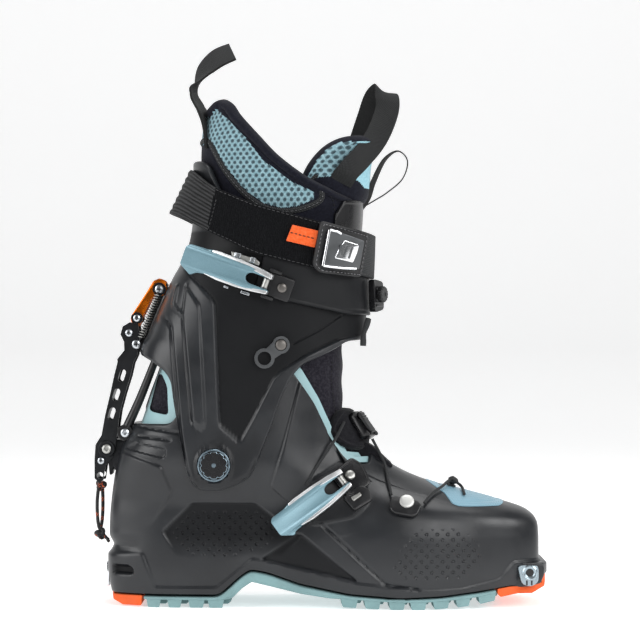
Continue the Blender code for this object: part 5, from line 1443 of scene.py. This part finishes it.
def build_strap():
    """The power strap: ribbed elastic behind, pile at the side, woven in front, with its stitching."""
    angles = STRAP.angles(1, 560)

    def strap_looks(x, y, z, outer):
        behind = x < -69.2 + (z - 229.0) * 0.2
        return np.where(behind, 1, np.where(x > 25, 2, 0))

    def puff(x, y, z, normal):
        behind = smoothstep(-69.2 + (z - 229.0) * 0.2 - x, -0.5, 2.5)
        wave = np.sin(z * 2 * math.pi / 4.1 + 1.5 * np.sin(y * 0.16) + x * 0.1)
        return behind * (0.35 * wave + 0.2)
    strap = skin("power_strap_woven", STRAP, angles, 0.0, 2.0, 2.4, ["pile", "elastic", "binding"], "cuff",
                 rows=70, rim=0.9, relief=puff, pick=strap_looks, shift=strap_set)
    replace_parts(strap, "power_strap")
    middle = STRAP.at(1.0, np.append(angles, angles[0]))
    width = np.linalg.norm(STRAP.at(2.0, angles) - STRAP.at(0.0, angles), axis=1).mean()
    turn = np.linspace(math.radians(22), math.radians(133), 400)
    for sign, name in ((1, "lateral"), (-1, "medial")):
        for level, edge in ((0.13, "low"), (1.87, "high")):
            points = STRAP.at(level, sign * turn)
            out = (points - STRAP.at(level, sign * turn, 2.0)) / 2.0
            points = worn_points(points)
            stitches(f"strap_stitches_{edge}_{name}", points + out * 0.05, out, "thread_soft", "cuff", 2.0,
                     0.9, 0.2)
        points, _, out = line_on(STRAP, [(-63.2, 251), (-67.6, 230.6)], 60, LATERAL if sign > 0 else MEDIAL,
                                 lift=0.1)
        stitches("strap_seam_" + name, worn_points(points), out, "thread_soft", "cuff", 1.6, 0.8, 0.25)
    tab = STRAP.frame(-10.3, 228.0, 0.5, math.radians(-13))
    outline = rounded([(-8.0, 5.2), (8.5, 5.2), (8.5, -5.2), (-9.6, -5.2)], 0.6)
    cloth = plate("pull_tab_cloth", outline, 0.2, 1.7, "orange_cloth", tab, BODIES["strap_pull_tab"], 0.35)
    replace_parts(cloth, "strap_pull_tab")
    line = [tab @ Vector((x, 0.2 - 0.02 * x, 1.72)) for x in np.linspace(-8.6, 8.0, 40)]
    stitches("pull_tab_stitches", line, tab.col[2][:3], "dark_thread", BODIES["strap_pull_tab"], 1.9, 0.7, 0.3)
    for height, name in ((4.5, "top"), (-4.5, "bottom")):
        line = [tab @ Vector((x, height, 1.7)) for x in np.linspace(-7.8, 7.6, 40)]
        stitches("pull_tab_edge_" + name, line, tab.col[2][:3], "orange_cloth", BODIES["strap_pull_tab"], 1.2,
                 0.6, 0.2)
    build_strap_buckle()
    spoiler_angles = CUFF.angles(7, 240, math.radians(48))
    keep = rounded([(4, 215), (4, 234), (14, 251), (40, 252), (40, 215)], 2.5)
    low, high = CUFF.within(spoiler_angles, keep, 5.6, 8.9, 5.4)
    guard = skin("tongue_guard", CUFF, spoiler_angles, low, high, 1.6, "seat", BODIES["tongue_spoiler"],
                 rows=60, rim=0.7, wraps=False, round_sides=True, inset=3.8, relief=edge_bead(keep, 1.6, 0.35))
    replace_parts(guard, "tongue_spoiler")


def build_strap_buckle():
    """The stitched backing of the strap's cam and the chrome cam itself, its face left plain."""
    at = STRAP.frame(11.0, 219.5, 0.5, math.radians(-9))
    body = BODIES["strap_buckle"]

    def wrapped(p):
        return Vector((p.x, p.y, p.z - 0.011 * max(0.0, p.x) ** 2))
    outline = rounded([(-16.5, 15.8), (20, 13.4), (20, -13.6), (-11, -15.6), (-16.5, -12)], 3)
    backing = plate("strap_backing", dense(outline), 0.2, 2.8, "hide", at, body, 0.9, segments=3, warp=wrapped)
    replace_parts(backing, "strap_buckle")
    inner = rounded([(-14.9, 14.0), (18.4, 11.9), (18.4, -12.1), (-10.4, -13.9), (-14.9, -11.3)], 2)
    border = [at @ wrapped(Vector((u, v, 2.85))) for u, v in smooth_path([*inner, inner[0]], 260)]
    stitches("strap_backing_stitches", border, at.col[2][:3], "thread", body, 1.5, 1.1, 0.2)
    cam, body = at @ Matrix.Translation((-9.0, 0, 4.9)), BODIES["strap_cam"]
    face = [(-2.6, 11.0), (10, 10.4), (23, 8.6), (23, -9.0), (12, -10.4), (-2.6, -10.6)]
    base = plate("cam_face", rounded(face, 1.2), -1.8, 0.2, "gunmetal", cam, body, 0.4)
    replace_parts(base, "strap_cam")
    frame_bars = {"left": [(3.5, 10.9), (-1.7, 11.1), (-2.3, 10.4), (-2.3, -10.2), (-1.6, -11.0), (2, -10.9)],
                  "top": [(3.5, 10.9), (6.0, 10.1)], "bottom": [(2, -10.9), (12, -10.2), (20.5, -9.0)]}
    for name, route in frame_bars.items():
        path = [cam @ Vector((u, v, 0.35)) for u, v in smooth_path(rounded(route, 0.8, closed=False), 40)]
        tube("cam_bar_" + name, path, 0.85, "chrome", body, 12)
    shield = rounded([(6.0, 1.0), (8.8, 6.8), (19.4, 5.6), (19.0, 1.0), (17.4, -5.8), (4.2, -5.2)], 1.0)
    plate("cam_shield", shield, 0.1, 1.2, "chrome", cam, body, 0.45)
    for number, shift in enumerate((-3.8, 0.0, 3.8)):
        bar = [(10.4 + shift, 3.8), (11.8 + shift, 3.8), (10.8 + shift, -3.8), (9.4 + shift, -3.8)]
        plate(f"cam_rib_{number}", bar, 0.9, 1.5, "gunmetal", cam, body, 0.2)


REAR_LOOP = [((-68.6, -16, 283), (0.2, 1, 0.1)), ((-70.2, -15, 296), (0.2, 1, 0)),
             ((-72.8, -12, 305), (0.22, 0.95, 0)), ((-77.0, -6, 315), (0.2, 0.95, 0.1)),
             ((-77.6, -2, 322.5), (0.05, 0.95, 0.3)), ((-72.6, 0, 334), (-0.25, 0.8, 0.5)),
             ((-64.8, 0, 341.5), (-0.25, 0.75, 0.6)), ((-55.0, 0, 346.0), (-0.17, 0.79, 0.59))]
FRONT_LOOP = [((12.6, -29.0, 262), (0.66, 0.42, -0.57)), ((18.0, -32.4, 269.4), (0.66, 0.42, -0.57)),
              ((26.0, -26.5, 278), (0.62, 0.55, -0.5)), ((35.2, -15, 291), (0.78, 0.25, -0.45)),
              ((41.4, -7, 306), (0.88, -0.2, -0.3)), ((42.4, -3, 315.5), (0.9, -0.25, -0.38)),
              ((40.0, 2.5, 320.5), (0.9, -0.15, -0.4)), ((35.0, 7, 317), (0.85, -0.25, -0.4)),
              ((30.3, 9, 306), (0.75, -0.5, -0.3)), ((23.6, 11, 289), (0.6, -0.7, -0.3)),
              ((20.0, 12, 276), (0.6, -0.7, -0.3))]
TAPE_LOOP = [((25.0, -4, 246.0), (0.8, 0.6, -0.2)), ((30.0, -5.5, 253.5), (0.8, 0.6, -0.2)),
             ((33.6, -6, 264), (0.75, 0.65, -0.15)), ((40.5, -5, 277.5), (0.45, 0.85, -0.2)),
             ((49.0, -4, 283), (0.1, 1, 0)), ((55.0, -2, 277), (0, 1, 0)), ((52.0, 0, 266), (0, 1, 0)),
             ((42.5, 3, 257.5), (0, 1, 0)), ((34.5, 3.5, 252.5), (0, 1, 0)), ((26.0, 3, 247.5), (0, 1, 0))]


def build_loops():
    """The two pull loops of webbing and the thin tape loop."""
    for name, node, route, width, thickness in (("rear_loop_webbing", "rear_pull_loop", REAR_LOOP, 20, 1.8),
                                                ("front_loop_webbing", "front_pull_loop", FRONT_LOOP, 15, 1.3)):
        loop, length = ribbon(name, route, width, thickness, "webbing", BODIES[node], 130, 13)
        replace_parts(loop, node)
    tape, _ = ribbon("tape_loop_woven", TAPE_LOOP, 4.2, 0.8, "tape",
                     BODIES["tongue_tape_loop"], 130, 5)
    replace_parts(tape, "tongue_tape_loop")


# ---------------------------------------------------------------- buckles

def span_frame(surface, hinge, end, lift, end_lift):
    """A placing at a lever's hinge: local X from its free end to the hinge, local Z outwards."""
    start, stop = surface.frame(*hinge), surface.frame(*end)
    out = start.col[2].to_3d()
    first = start.translation + out * lift
    along = (first - stop.translation - Vector((0, -end_lift, 0))).normalized()
    out = out + Vector((0, -0.6, 0))
    out = (out - along * out.dot(along)).normalized()
    made = Matrix((along, out.cross(along), out)).transposed().to_4x4()
    made.translation = first
    return made


def dense(outline):
    """An outline with its long edges divided at about 1.5 mm."""
    result = []
    for (ax, ay), (bx, by) in zip(outline, outline[1:] + outline[:1]):
        count = max(1, int(math.hypot(bx - ax, by - ay) / 1.5))
        result += [(ax + (bx - ax) * k / count, ay + (by - ay) * k / count) for k in range(count)]
    return result


def build_lever(node, at, reach, drop, sag):
    """A painted lever with bright flanges along both edges, a painted highlight strip on the crease before its
    tab, and a slot for the bail.
    """
    neck, body = 0.74 * reach, BODIES[node]

    def bent(p):
        flare = 0.035 * min(0.0, p.x + neck) ** 2
        return Vector((p.x, p.y, p.z + flare - sag * (min(0.0, p.x) / reach) ** 2))
    top = [(3.2, 6.3), (-6, 7.6), (-0.35 * reach, 8.4), (-0.62 * reach, 8.7), (-neck + 1.5, 8.2)]
    low = [(-neck + 1, -7.4), (-0.55 * reach, -8.4), (-0.3 * reach, -8.3), (-6, -7.5), (3.2, -6.2)]
    tab = [(-neck - 1.5, 7.4), (-reach + 2, 7.0), (-reach, 5.0), (-reach, -3.5 - drop),
           (-reach + 7, -8.0 - drop), (-0.82 * reach, -7.0 - drop / 2)]
    slot = [(3.2, -3.5), (-9.5, -3.4), (-12.0, -2.4), (-13.0, 0), (-12.0, 2.4), (-9.5, 3.4), (3.2, 3.5)]
    face = plate(node + "_face", dense(rounded(top + tab + low + slot, 1.2, 4)), -0.4, 2.0, "lever", at, body,
                 0.35, segments=3, warp=bent)
    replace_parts(face, node)
    for name, edge, width, height in (("upper", top, 3.1, 2.9), ("lower", low[::-1], 2.2, 2.7)):
        sign = 1 if name == "upper" else -1
        inner = [(x, y - sign * width * (1 if x > -neck + 3 else 0.5)) for x, y in edge]
        outline = dense(rounded(edge + inner[::-1], 0.8, 3))
        plate(f"{node}_flange_{name}", outline, -2.0, height, "bright", at, body, 0.4, segments=3, warp=bent)
    # The crease is a raised strip in a lighter blue: a painted highlight where the bend catches the light.
    crease = dense([(-neck - 1.2, 7.3), (-neck + 0.8, 7.6), (-neck + 1.6, -6.8), (-neck - 0.2, -7.0)])
    plate(node + "_crease", crease, 1.4, 2.75, "lever_light", at, body, 0.5, segments=3, warp=bent)
    bail = at @ Matrix.Rotation(math.radians(90), 4, "X")
    pin = turned(node + "_bail", [(1.9, -3.2), (1.9, 3.2)], "pewter", bail,
                 BODIES[node.replace("lever", "pin")])
    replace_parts(pin, node.replace("lever", "pin"))
    for number, place in enumerate((-2.9, 2.9)):
        turned(f"{node}_collar_{number}", [(2.3, place - 0.4), (2.3, place + 0.4)], "gunmetal", bail,
               BODIES[node.replace("lever", "pin")])


def build_buckles():
    """Both buckles with their levers, bases and ladders."""
    hinge = span_frame(CUFF, (-33.0, 199.8), (-80, 216.5), 8.5, 20.0)
    build_lever("upper_buckle_lever", hinge, 53.0, 3.0, 2.0)
    base = CUFF.frame(-30.0, 199.3, 2.8, math.radians(-19.5))
    block = plate("upper_base_block", box(-3.0, 13.5, 6.8, -7.4, 1.6), 0.2, 2.3,
                  "black", base, "cuff", 0.5)
    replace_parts(block, "upper_buckle_base")
    for height, name in ((8.0, "top"), (-8.6, "bottom")):
        lug_line = box(-3.2, 4.5, height + 0.9, height - 0.9, 0.7)
        plate("upper_base_lug_" + name, lug_line, 0.2, 4.6, "black", base, "cuff", 0.5)
    stem = rivet("upper_base_rivet", 3.0, 1.5, "dark_pewter", base @ Matrix.Translation((7.4, 0, 2.2)), "cuff")
    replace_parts(stem, "upper_buckle_rivet")
    rack = plate("ladder_bar", rounded([(-10.5, 1.7), (6.0, 1.7), (8.5, 0.4), (8.5, -1.6), (-9, -1.6)], 0.8),
                 3.4, 5.2, "pewter", CUFF.frame(-44.0, 214.2, 0, math.radians(-18)), "cuff", 0.5)
    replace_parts(rack, "upper_buckle_ladder")
    for name, x, z, length, height in (("tooth_a", -49.0, 216.4, 4.2, 3.0), ("tooth_b", -40.5, 213.6, 3.0, 3.4),
                                       ("foot_a", -57.0, 197.0, 3.0, 1.3), ("foot_b", -45.5, 193.4, 5.6, 1.8)):
        outline = box(-length, length, height / 2, -height / 2, 0.6)
        plate("ladder_" + name, [(u / 2, v) for u, v in outline], 0.6, 5.6 if "tooth" in name else 2.2, "zinc",
              CUFF.frame(x, z, 0.4, math.radians(-18)), "cuff", 0.4)
    hinge = span_frame(SHELL, (12.4, 75.0), (-27, 49), 9.6, 9.0)
    build_lever("lower_buckle_lever", hinge, 50.0, 1.5, 3.0)
    base = SHELL.frame(18, 77.5, 1.5, math.radians(34))
    block = plate("lower_base_block", rounded([(-9, 9.5), (11, 11.5), (13.5, 3), (9, -9.5), (-9, -9.5)], 3),
                  0.2, 2.3, "seat", base, "root", 0.6)
    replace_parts(block, "lower_buckle_base")
    ridge = rounded([(-7.6, 8.0), (10.0, 9.8), (12.0, 3), (8.0, -8.2), (-7.6, -8.2)], 2.5)
    border = [base @ Vector((u, v, 2.25)) for u, v in smooth_path([*ridge, ridge[0]], 200)]
    tube("lower_base_bead", border[:-1], 0.4, "black", "root", 8, closed=True)
    rivet("lower_base_rivet", 3.2, 1.4, "pewter", base @ Matrix.Translation((1.6, 2.2, 2.2)), "root")
    foot = SHELL.frame(23.4, 67.4, 1.0, math.radians(34))
    plate("lower_base_foot", rounded([(-8, 5), (5, 6), (8.5, 1), (6, -6.5), (-7, -6)], 2), 0.0, 3.0, "black",
          foot, "root", 0.7)
    plate("lower_ladder_end", rounded([(-3.2, 1.5), (3.2, 1.2), (3.2, -1.2), (-3.2, -1.5)], 0.7), 2.8, 4.2,
          "pewter", foot @ Matrix.Translation((-1.0, 0.5, 0)), "root", 0.4)


# ---------------------------------------------------------------- walk mechanism

LINK_TOP, LEVER_HINGE, HEEL_PIN = (-100.6, 196.3), (-119.4, 168.9), (-133.4, 96.4)
ROD_PIVOT, ROD_Y = (-121.6, 107.2), -15.0


def facing(x, y, z):
    """A placing that faces out of the boot's side at y."""
    return Matrix.Translation((x, y, z)) @ Matrix.Rotation(math.radians(90 if y < 0 else -90), 4, "X")


def screw(name, place, y, radius, body, height=1.6, cross=True, material="zinc"):
    """A screw head with a six-sided socket, or with a crossed recess drawn as a thin dark cross of painted
    shade on the head.
    """
    at = facing(place[0], y, place[1])
    head = rivet(name, radius, height, material, at, body, 0.0 if cross else radius * 0.42, 0.3)
    if cross:
        arm, half = radius * 0.52, radius * 0.13
        outline = [(half, arm), (half, half), (arm, half), (arm, -half), (half, -half), (half, -arm),
                   (-half, -arm), (-half, -half), (-arm, -half), (-arm, half), (-half, half), (-half, arm)]
        # The recess is a dark cross plate laid on the head: painted shade.
        plate(name + "_cross_recess_shade", outline, height - 0.2, height + 0.33, "coated", at, body, 0.04)
    return head


def build_mechanism():
    """The walk mechanism behind: link, lever, screws and rod."""
    side_wall = [(-103.6, 201.6), (-100.3, 203.0), (-96.6, 201.6), (-95.6, 195.8), (-98.4, 191.6),
                 (-102.1, 192.6), (-105.3, 190.4), (-112.2, 176.4), (-113.4, 172.2), (-117.6, 174.2),
                 (-119.0, 178.4), (-114.4, 185.2)]
    for y, name in ((-8.0, "lateral"), (6.2, "medial")):
        wall = plate("link_wall_" + name, rounded(side_wall, 2.2), 0.0, 1.8, "anodised", side_view(y + 1.8),
                     "link", 0.45, segments=3)
        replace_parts(wall, "walk_link")
    spine = rounded([(-97.4, 202.0), (-100.6, 203.2), (-104.4, 201.6), (-109.4, 193.4), (-118.6, 179.4),
                     (-117.4, 178.0), (-108.2, 192.0), (-103.4, 199.8), (-100.2, 201.4)], 0.8)
    plate("link_spine", spine, -6.6, 6.6, "anodised", side_view(), "link", 0.35)
    refined("walk_lever", "coated", "lever", 0.35)
    refined("mechanism_mount", "black", "cuff", 0.5)
    refined("heel_bracket", "coated", BODIES["heel_bracket"], 0.5)
    for name, place, radius, body, node in (("link_screw", LINK_TOP, 2.9, "link", "link_top_screw"),
                                            ("link_rivet", (-114.6, 178.2), 2.4, "link", None),
                                            ("hinge_screw", LEVER_HINGE, 2.4, "lever", None),
                                            ("spring_screw", (-114.8, 161.8), 2.9, "lever", None),
                                            ("eye_screw", (-136.9, 89.0), 2.2, "lever", None)):
        reach = 8.0 if body == "link" else 10.2
        for y, side in ((-reach, "lateral"), (reach, "medial")):
            head = screw(f"{name}_{side}", place, y, radius, body)
            if node:
                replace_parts(head, node)
            if body == "link":
                turned(f"{name}_disc_{side}", [(radius + 1.3, -0.2), (radius + 1.3, 0.5), (0.01, 0.5)],
                       "coated", facing(place[0], y, place[1]), body, 40)
    for y, side in ((-10.2, "lateral"), (10.2, "medial")):
        ring = facing(HEEL_PIN[0], y, HEEL_PIN[1])
        turned("heel_pin_boss_" + side, [(5.4, -0.4), (5.4, 0.5), (4.9, 0.9), (3.5, 0.9), (3.5, 0.2),
                                         (0.01, 0.2)],
               "coated", ring, "lever", 48)
        pin = screw("heel_pin_" + side, HEEL_PIN, y, 3.1, "lever", 1.7, False, "pewter")
        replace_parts(pin, "heel_pin_screw")
    web = [(-131.4, 92.4), (-131, 101.6), (-116.3, 102.5), (-110, 100), (-119.5, 86), (-124, 77.8),
           (-130, 85.1)]
    plate("heel_web", rounded(web, 1.5), -7.6, 7.6, "coated", side_view(), "root", 0.8, segments=3)
    body = BODIES["walk_rod"]
    rod_line = [(x, ROD_Y, z) for x, z in (ROD_PIVOT, (-112.6, 127.0), (-104.6, 147.0), (-100.6, 157.0))]
    bar = tube("rod_arm", smooth_path(rod_line, 60), np.linspace(3.0, 2.3, 60), "black", body, 20)
    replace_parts(bar, "walk_rod")
    eye = (ROD_PIVOT[0] + 0.4, ROD_PIVOT[1] - 0.4)
    turned("rod_eye", [(5.2, -2.6), (5.2, 2.2), (4.6, 2.8), (0.01, 2.8)], "black",
           facing(eye[0], ROD_Y, eye[1]), body, 48)
    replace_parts(screw("rod_screw_head", eye, -17.7, 2.9, body, 1.6, False), "rod_screw")
    build_spring()


def build_spring():
    """The compression spring between the link and the lever, on its guide."""
    top, foot = Vector((-101.2, -9.9, 193.2)), Vector((-112.0, -9.9, 165.6))
    along = (foot - top).normalized()
    side, third = Vector((0, 1, 0)), along.cross(Vector((0, 1, 0)))
    turns, steps = 18, 14
    path = []
    for i in range(turns * steps + 1):
        angle, share = 2 * math.pi * i / steps, i / (turns * steps)
        path.append(top.lerp(foot, share) + (side * math.cos(angle) + third * math.sin(angle)) * 2.1)
    spring = tube("coil_spring", path, 0.34, "pewter", None, 8)
    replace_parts(spring, "walk_spring")
    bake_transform(spring)
    guide = tube("spring_guide", [top.lerp(foot, s) for s in np.linspace(-0.03, 1.04, 24)], 1.2, "coated",
                 None, 12)
    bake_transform(guide)


# ---------------------------------------------------------------- pull cord

CORD_ROUTE = [(-138.6, -1.4, 74.6), (-139.4, -1.8, 70.5), (-140.0, -2.4, 64), (-140.0, -2.6, 57),
              (-139.6, -2.6, 51), (-139.0, -1.8, 47.0), (-138.4, 0.2, 45.8), (-138.0, 2.2, 47.0),
              (-137.4, 2.8, 51), (-137.0, 2.6, 57), (-136.9, 2.2, 65), (-137.2, 1.6, 74.6)]


def knot(name, centre, size, tilt):
    """A pulled knot of the same cord."""
    turn = np.linspace(0, 2 * math.pi, 90, endpoint=False)
    loop = np.stack([np.sin(turn) + 2 * np.sin(2 * turn), -1.3 * np.sin(3 * turn),
                     np.cos(turn) - 2 * np.cos(2 * turn)], 1) * size
    loop = [Matrix.Rotation(tilt, 3, "Y") @ Vector(p) + Vector(centre) for p in loop]
    return tube(name, loop, 1.15, "braid", "cord", 10, closed=True)


def build_cord():
    """The pull cord on the walk lever, with its knots and tails."""
    path = smooth_path(CORD_ROUTE, 160)
    line = tube("pull_cord_braid", path, 1.1, "braid", "cord", 12)
    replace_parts(line, "pull_cord")
    top = knot("cord_knot_top", (-137.9, 0.0, 73.0), 0.92, 0.3)
    low = knot("cord_knot_low", (-138.2, 0.2, 42.6), 0.98, -0.5)
    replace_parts(low, "pull_cord_knot")
    for number, (y, drop) in enumerate(((-0.8, 0.0), (1.2, 1.6))):
        tail = smooth_path([(-137.4, y, 42.0), (-135.2, y, 40.6), (-132.9, y * 1.4, 38.8 - drop)], 24)
        tube(f"cord_tail_{number}", tail, 1.05, "braid", "cord", 10)


# ---------------------------------------------------------------- tensioners, laces and small fittings

def build_cuff_tensioner():
    """The knob on the cuff's front with its ribbed body and tail."""
    front = Matrix.Translation((31.9, -14.0, 191.5)) @ Matrix.Rotation(math.radians(64), 4, "Z") @ side_view()
    refined("cuff_tensioner", "seat", BODIES["cuff_tensioner"], 0.0)
    for number, shift in enumerate((-5.4, -2.0, 4.8)):
        rib = box(-4.5, 4.8, shift + 0.8, shift - 0.8, 0.6)
        plate(f"tensioner_rib_{number}", rib, 5.2, 6.2, "black", front, BODIES["cuff_tensioner"], 0.4)
    knob = turned("knurled_knob", [(4.7, 5.9), (4.9, 6.4), (4.9, 8.6), (4.2, 9.4), (1.4, 9.4), (1.2, 9.0),
                                   (0.01, 9.0)],
                  "black", front @ Matrix.Translation((0.5, 1.5, 0)), "knob", 96,
                  lambda a: 1 + 0.05 * np.clip(2 * np.cos(14 * a), -1, 1))
    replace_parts(knob, "tensioner_knob")
    tail = smooth_path([(30.0, -27.5, 178.0), (28.6, -28.5, 173), (27.0, -29, 168), (26.6, -29, 161)], 40)
    pull = tube("tensioner_tail", tail, 1.7 + 0.25 * np.sin(np.linspace(0, 9, 40)), "lace",
                BODIES["tensioner_pull"], 14)
    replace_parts(pull, "tensioner_pull")


def build_hook_ring():
    refined("hook_ring", "gunmetal", "ring", 0.5, 3)
    stem = rivet("ring_rivet", 3.4, 3.2, "dark_pewter", CUFF.frame(-23.8, 161.8, 0.8),
                 BODIES["hook_ring_rivet"])
    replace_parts(stem, "hook_ring_rivet")


def build_instep_tensioner():
    """The lace's tensioner over the instep: a body with screw bosses and a ribbed grip."""
    seat = (Matrix.Translation((24.2, -10.5, 109.0)) @ Matrix.Rotation(math.radians(-26), 4, "Z")
            @ Matrix.Rotation(math.radians(52), 4, "Y"))
    refined("instep_tensioner", "seat", BODIES["instep_tensioner"], 0.0)
    for number, (u, v, size) in enumerate(((-7.6, -5.0, 1.7), (-7.8, 4.9, 1.7), (7.4, -6.0, 1.9),
                                           (7.4, 6.0, 1.9))):
        rivet(f"instep_boss_{number}", size, 1.3, "black", seat @ Matrix.Translation((u, v, 5.0)),
              BODIES["instep_tensioner"])
    body = BODIES["instep_tensioner_lever"]
    grip = plate("instep_grip", box(-8, 7.5, 3.6, -3.6, 2), 5.7, 7.8, "black", seat,
                 body, 0.7, segments=3)
    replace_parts(grip, "instep_tensioner_lever")
    for number, shift in enumerate((-6.2, -4.2, -2.2)):
        rib = box(shift - 0.6, shift + 0.6, 3.0, -3.0, 0.5)
        plate(f"instep_grip_rib_{number}", rib, 7.4, 8.3, "seat", seat, body, 0.3)


def build_lace_guides():
    """The guide on the shell's side and the catch on its ridge."""
    guide = SHELL.frame(52.0, 62.5, 1.2, math.radians(-14))
    block = rounded([(-8.6, -5.6), (-5.6, -7.6), (6.2, -7.4), (8.6, -5.2), (10.0, 1.4), (6.5, 4.4), (-7.0, 4.6),
                     (-10.0, 1.6)], 1.6)
    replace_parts(plate("guide_block", block, 0.2, 3.2, "black", guide, BODIES["cable_guide"], 0.9, segments=4),
                "cable_guide")
    rivet("guide_rivet", 4.6, 1.3, "satin", guide @ Matrix.Translation((0.4, 1.6, 3.1)), BODIES["cable_guide"])
    hook = Matrix.Translation((82.4, 0, 73.2)) @ Matrix.Rotation(math.radians(22), 4, "Y")
    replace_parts(turned("vamp_post", [(3.2, -0.8), (3.2, 0.8), (1.8, 1.2), (1.8, 2.2), (3.0, 2.6), (3.0, 3.2),
                                     (2.2, 3.6), (0.01, 3.6)], "black", hook, BODIES["vamp_hook"], 40),
                "vamp_hook")
    catch = [(-2.6, 1.4), (0.4, 2.6), (3.4, 0.6), (3.8, -1.6), (1.6, -2.6), (-2.2, -1.4)]
    plate("vamp_catch", rounded(catch, 0.7), -2.6, 3.0, "black",
          Matrix.Translation((83.2, -3.0, 76.6)) @ side_view(), BODIES["vamp_hook"], 0.8, segments=3)


def build_plain_parts():
    """The pieces that keep their CAD shape."""
    for node, material, bevel in (("heel_bumper", "orange", 0.7), ("toe_bumper", "orange", 0.5),
                                  ("toe_insert_lateral", "toe_steel", 0.4),
                                  ("toe_insert_medial", "toe_steel", 0.4), ("heel_insert", "chrome", 0.3),
                                  ("shell_collar", "aqua", 0.5), ("boot_board", "foam", 0.5)):
        refined(node, material, BODIES[node], bevel, angle=50)


def build_toe_sockets():
    """The ringed socket and the two notches on each toe insert, their dark insides drawn as thin black pieces
    of painted shade.
    """
    socket = [(4.7, -0.2), (4.7, 0.4), (4.0, 0.9), (3.0, 0.6), (2.4, 0.1), (2.4, -0.1)]
    for name, face in (("lateral", -35.4), ("medial", 38.8)):
        body, out = BODIES["toe_insert_" + name], facing(129.0, face, 21.6)
        turned("toe_socket_" + name, socket, "toe_steel", out, body, 48)
        # The socket's floor is a black disc: painted shade in the hole.
        turned("toe_socket_pit_shade_" + name, [(2.4, -0.1), (2.4, 0.2), (0.01, 0.2)], "black", out, body, 32)
        wall = side_view(face) if face < 0 else side_view(face) @ Matrix.Rotation(math.pi, 4, "Y")
        for number, x in enumerate((127.2, 130.2)):
            across = x if face < 0 else -x
            notch = rounded([(across - 0.5, 13.8), (across - 0.5, 16.9), (across + 0.5, 16.9),
                             (across + 0.5, 13.8)], 0.4)
            # Each notch is a thin black plate: painted shade in the slot.
            plate(f"toe_notch_{name}_{number}", notch, -0.1, 0.12, "black", wall, body, 0.04)


def build_laces():
    """The three wires of the instep closure."""
    def on_shell(route, lift):
        return [SHELL.frame(x, z, lift).translation for x, z in route]
    routes = {
        "lace_front": [Vector((32.6, -14.0, 102.9)), *on_shell([(39.0, 86.5), (41.5, 77.0), (43.5, 68.5)],
                                                               2.2)],
        "lace_vamp": [*on_shell([(63.5, 63.5), (69, 68.5), (75.5, 71.6)], 2.4), Vector((79.6, -11.0, 76.0)),
                      Vector((82.6, -6.0, 77.0)), Vector((85.4, -9.0, 75.6)),
                      *on_shell([(88.2, 70.6), (89.0, 67.4)], 2.0)],
        "lace_rear": [Vector((15.0, -20.5, 113.5)), Vector((9.0, -33.0, 103)),
                      *on_shell([(-3.0, 86.0), (-8.5, 76.0)], 2.6)]}
    for node, route in routes.items():
        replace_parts(tube(node + "_braid", smooth_path(route, 90), 0.9, "lace", BODIES[node], 12), node)


VAMP_OUTLINE = [(60, 82), (65.9, 77.5), (77, 70.5), (81.5, 64.6), (84.0, 63.4), (91.7, 62.8), (111.3, 62.4),
                (117.5, 64.6), (126, 90), (60, 96)]


def build_vamp():
    """The light panel over the toes, with a fine mesh."""
    angles = SHELL.angles(7, 260, math.radians(62))
    keep = rounded(VAMP_OUTLINE, 1.2)
    low, high = SHELL.within(angles, keep, 5.4, 8.4, -1.4)
    panel = skin("vamp_panel", SHELL, angles, low, high, 1.2, "vamp", BODIES["toe_vamp_panel"], rows=70,
                 rim=0.5, wraps=False, round_sides=True, inset=-1.4, relief=edge_bead(keep, 2.2, -0.3))
    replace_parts(panel, "toe_vamp_panel")


paints = build_materials()
build_stage()
build_shell()
build_cuff()
build_sole()
build_liner()
build_throat_trim()
build_pad()
build_strap()
build_loops()
build_buckles()
build_mechanism()
build_cord()
build_cuff_tensioner()
build_hook_ring()
build_instep_tensioner()
build_lace_guides()
build_laces()
build_vamp()
build_plain_parts()
build_toe_sockets()
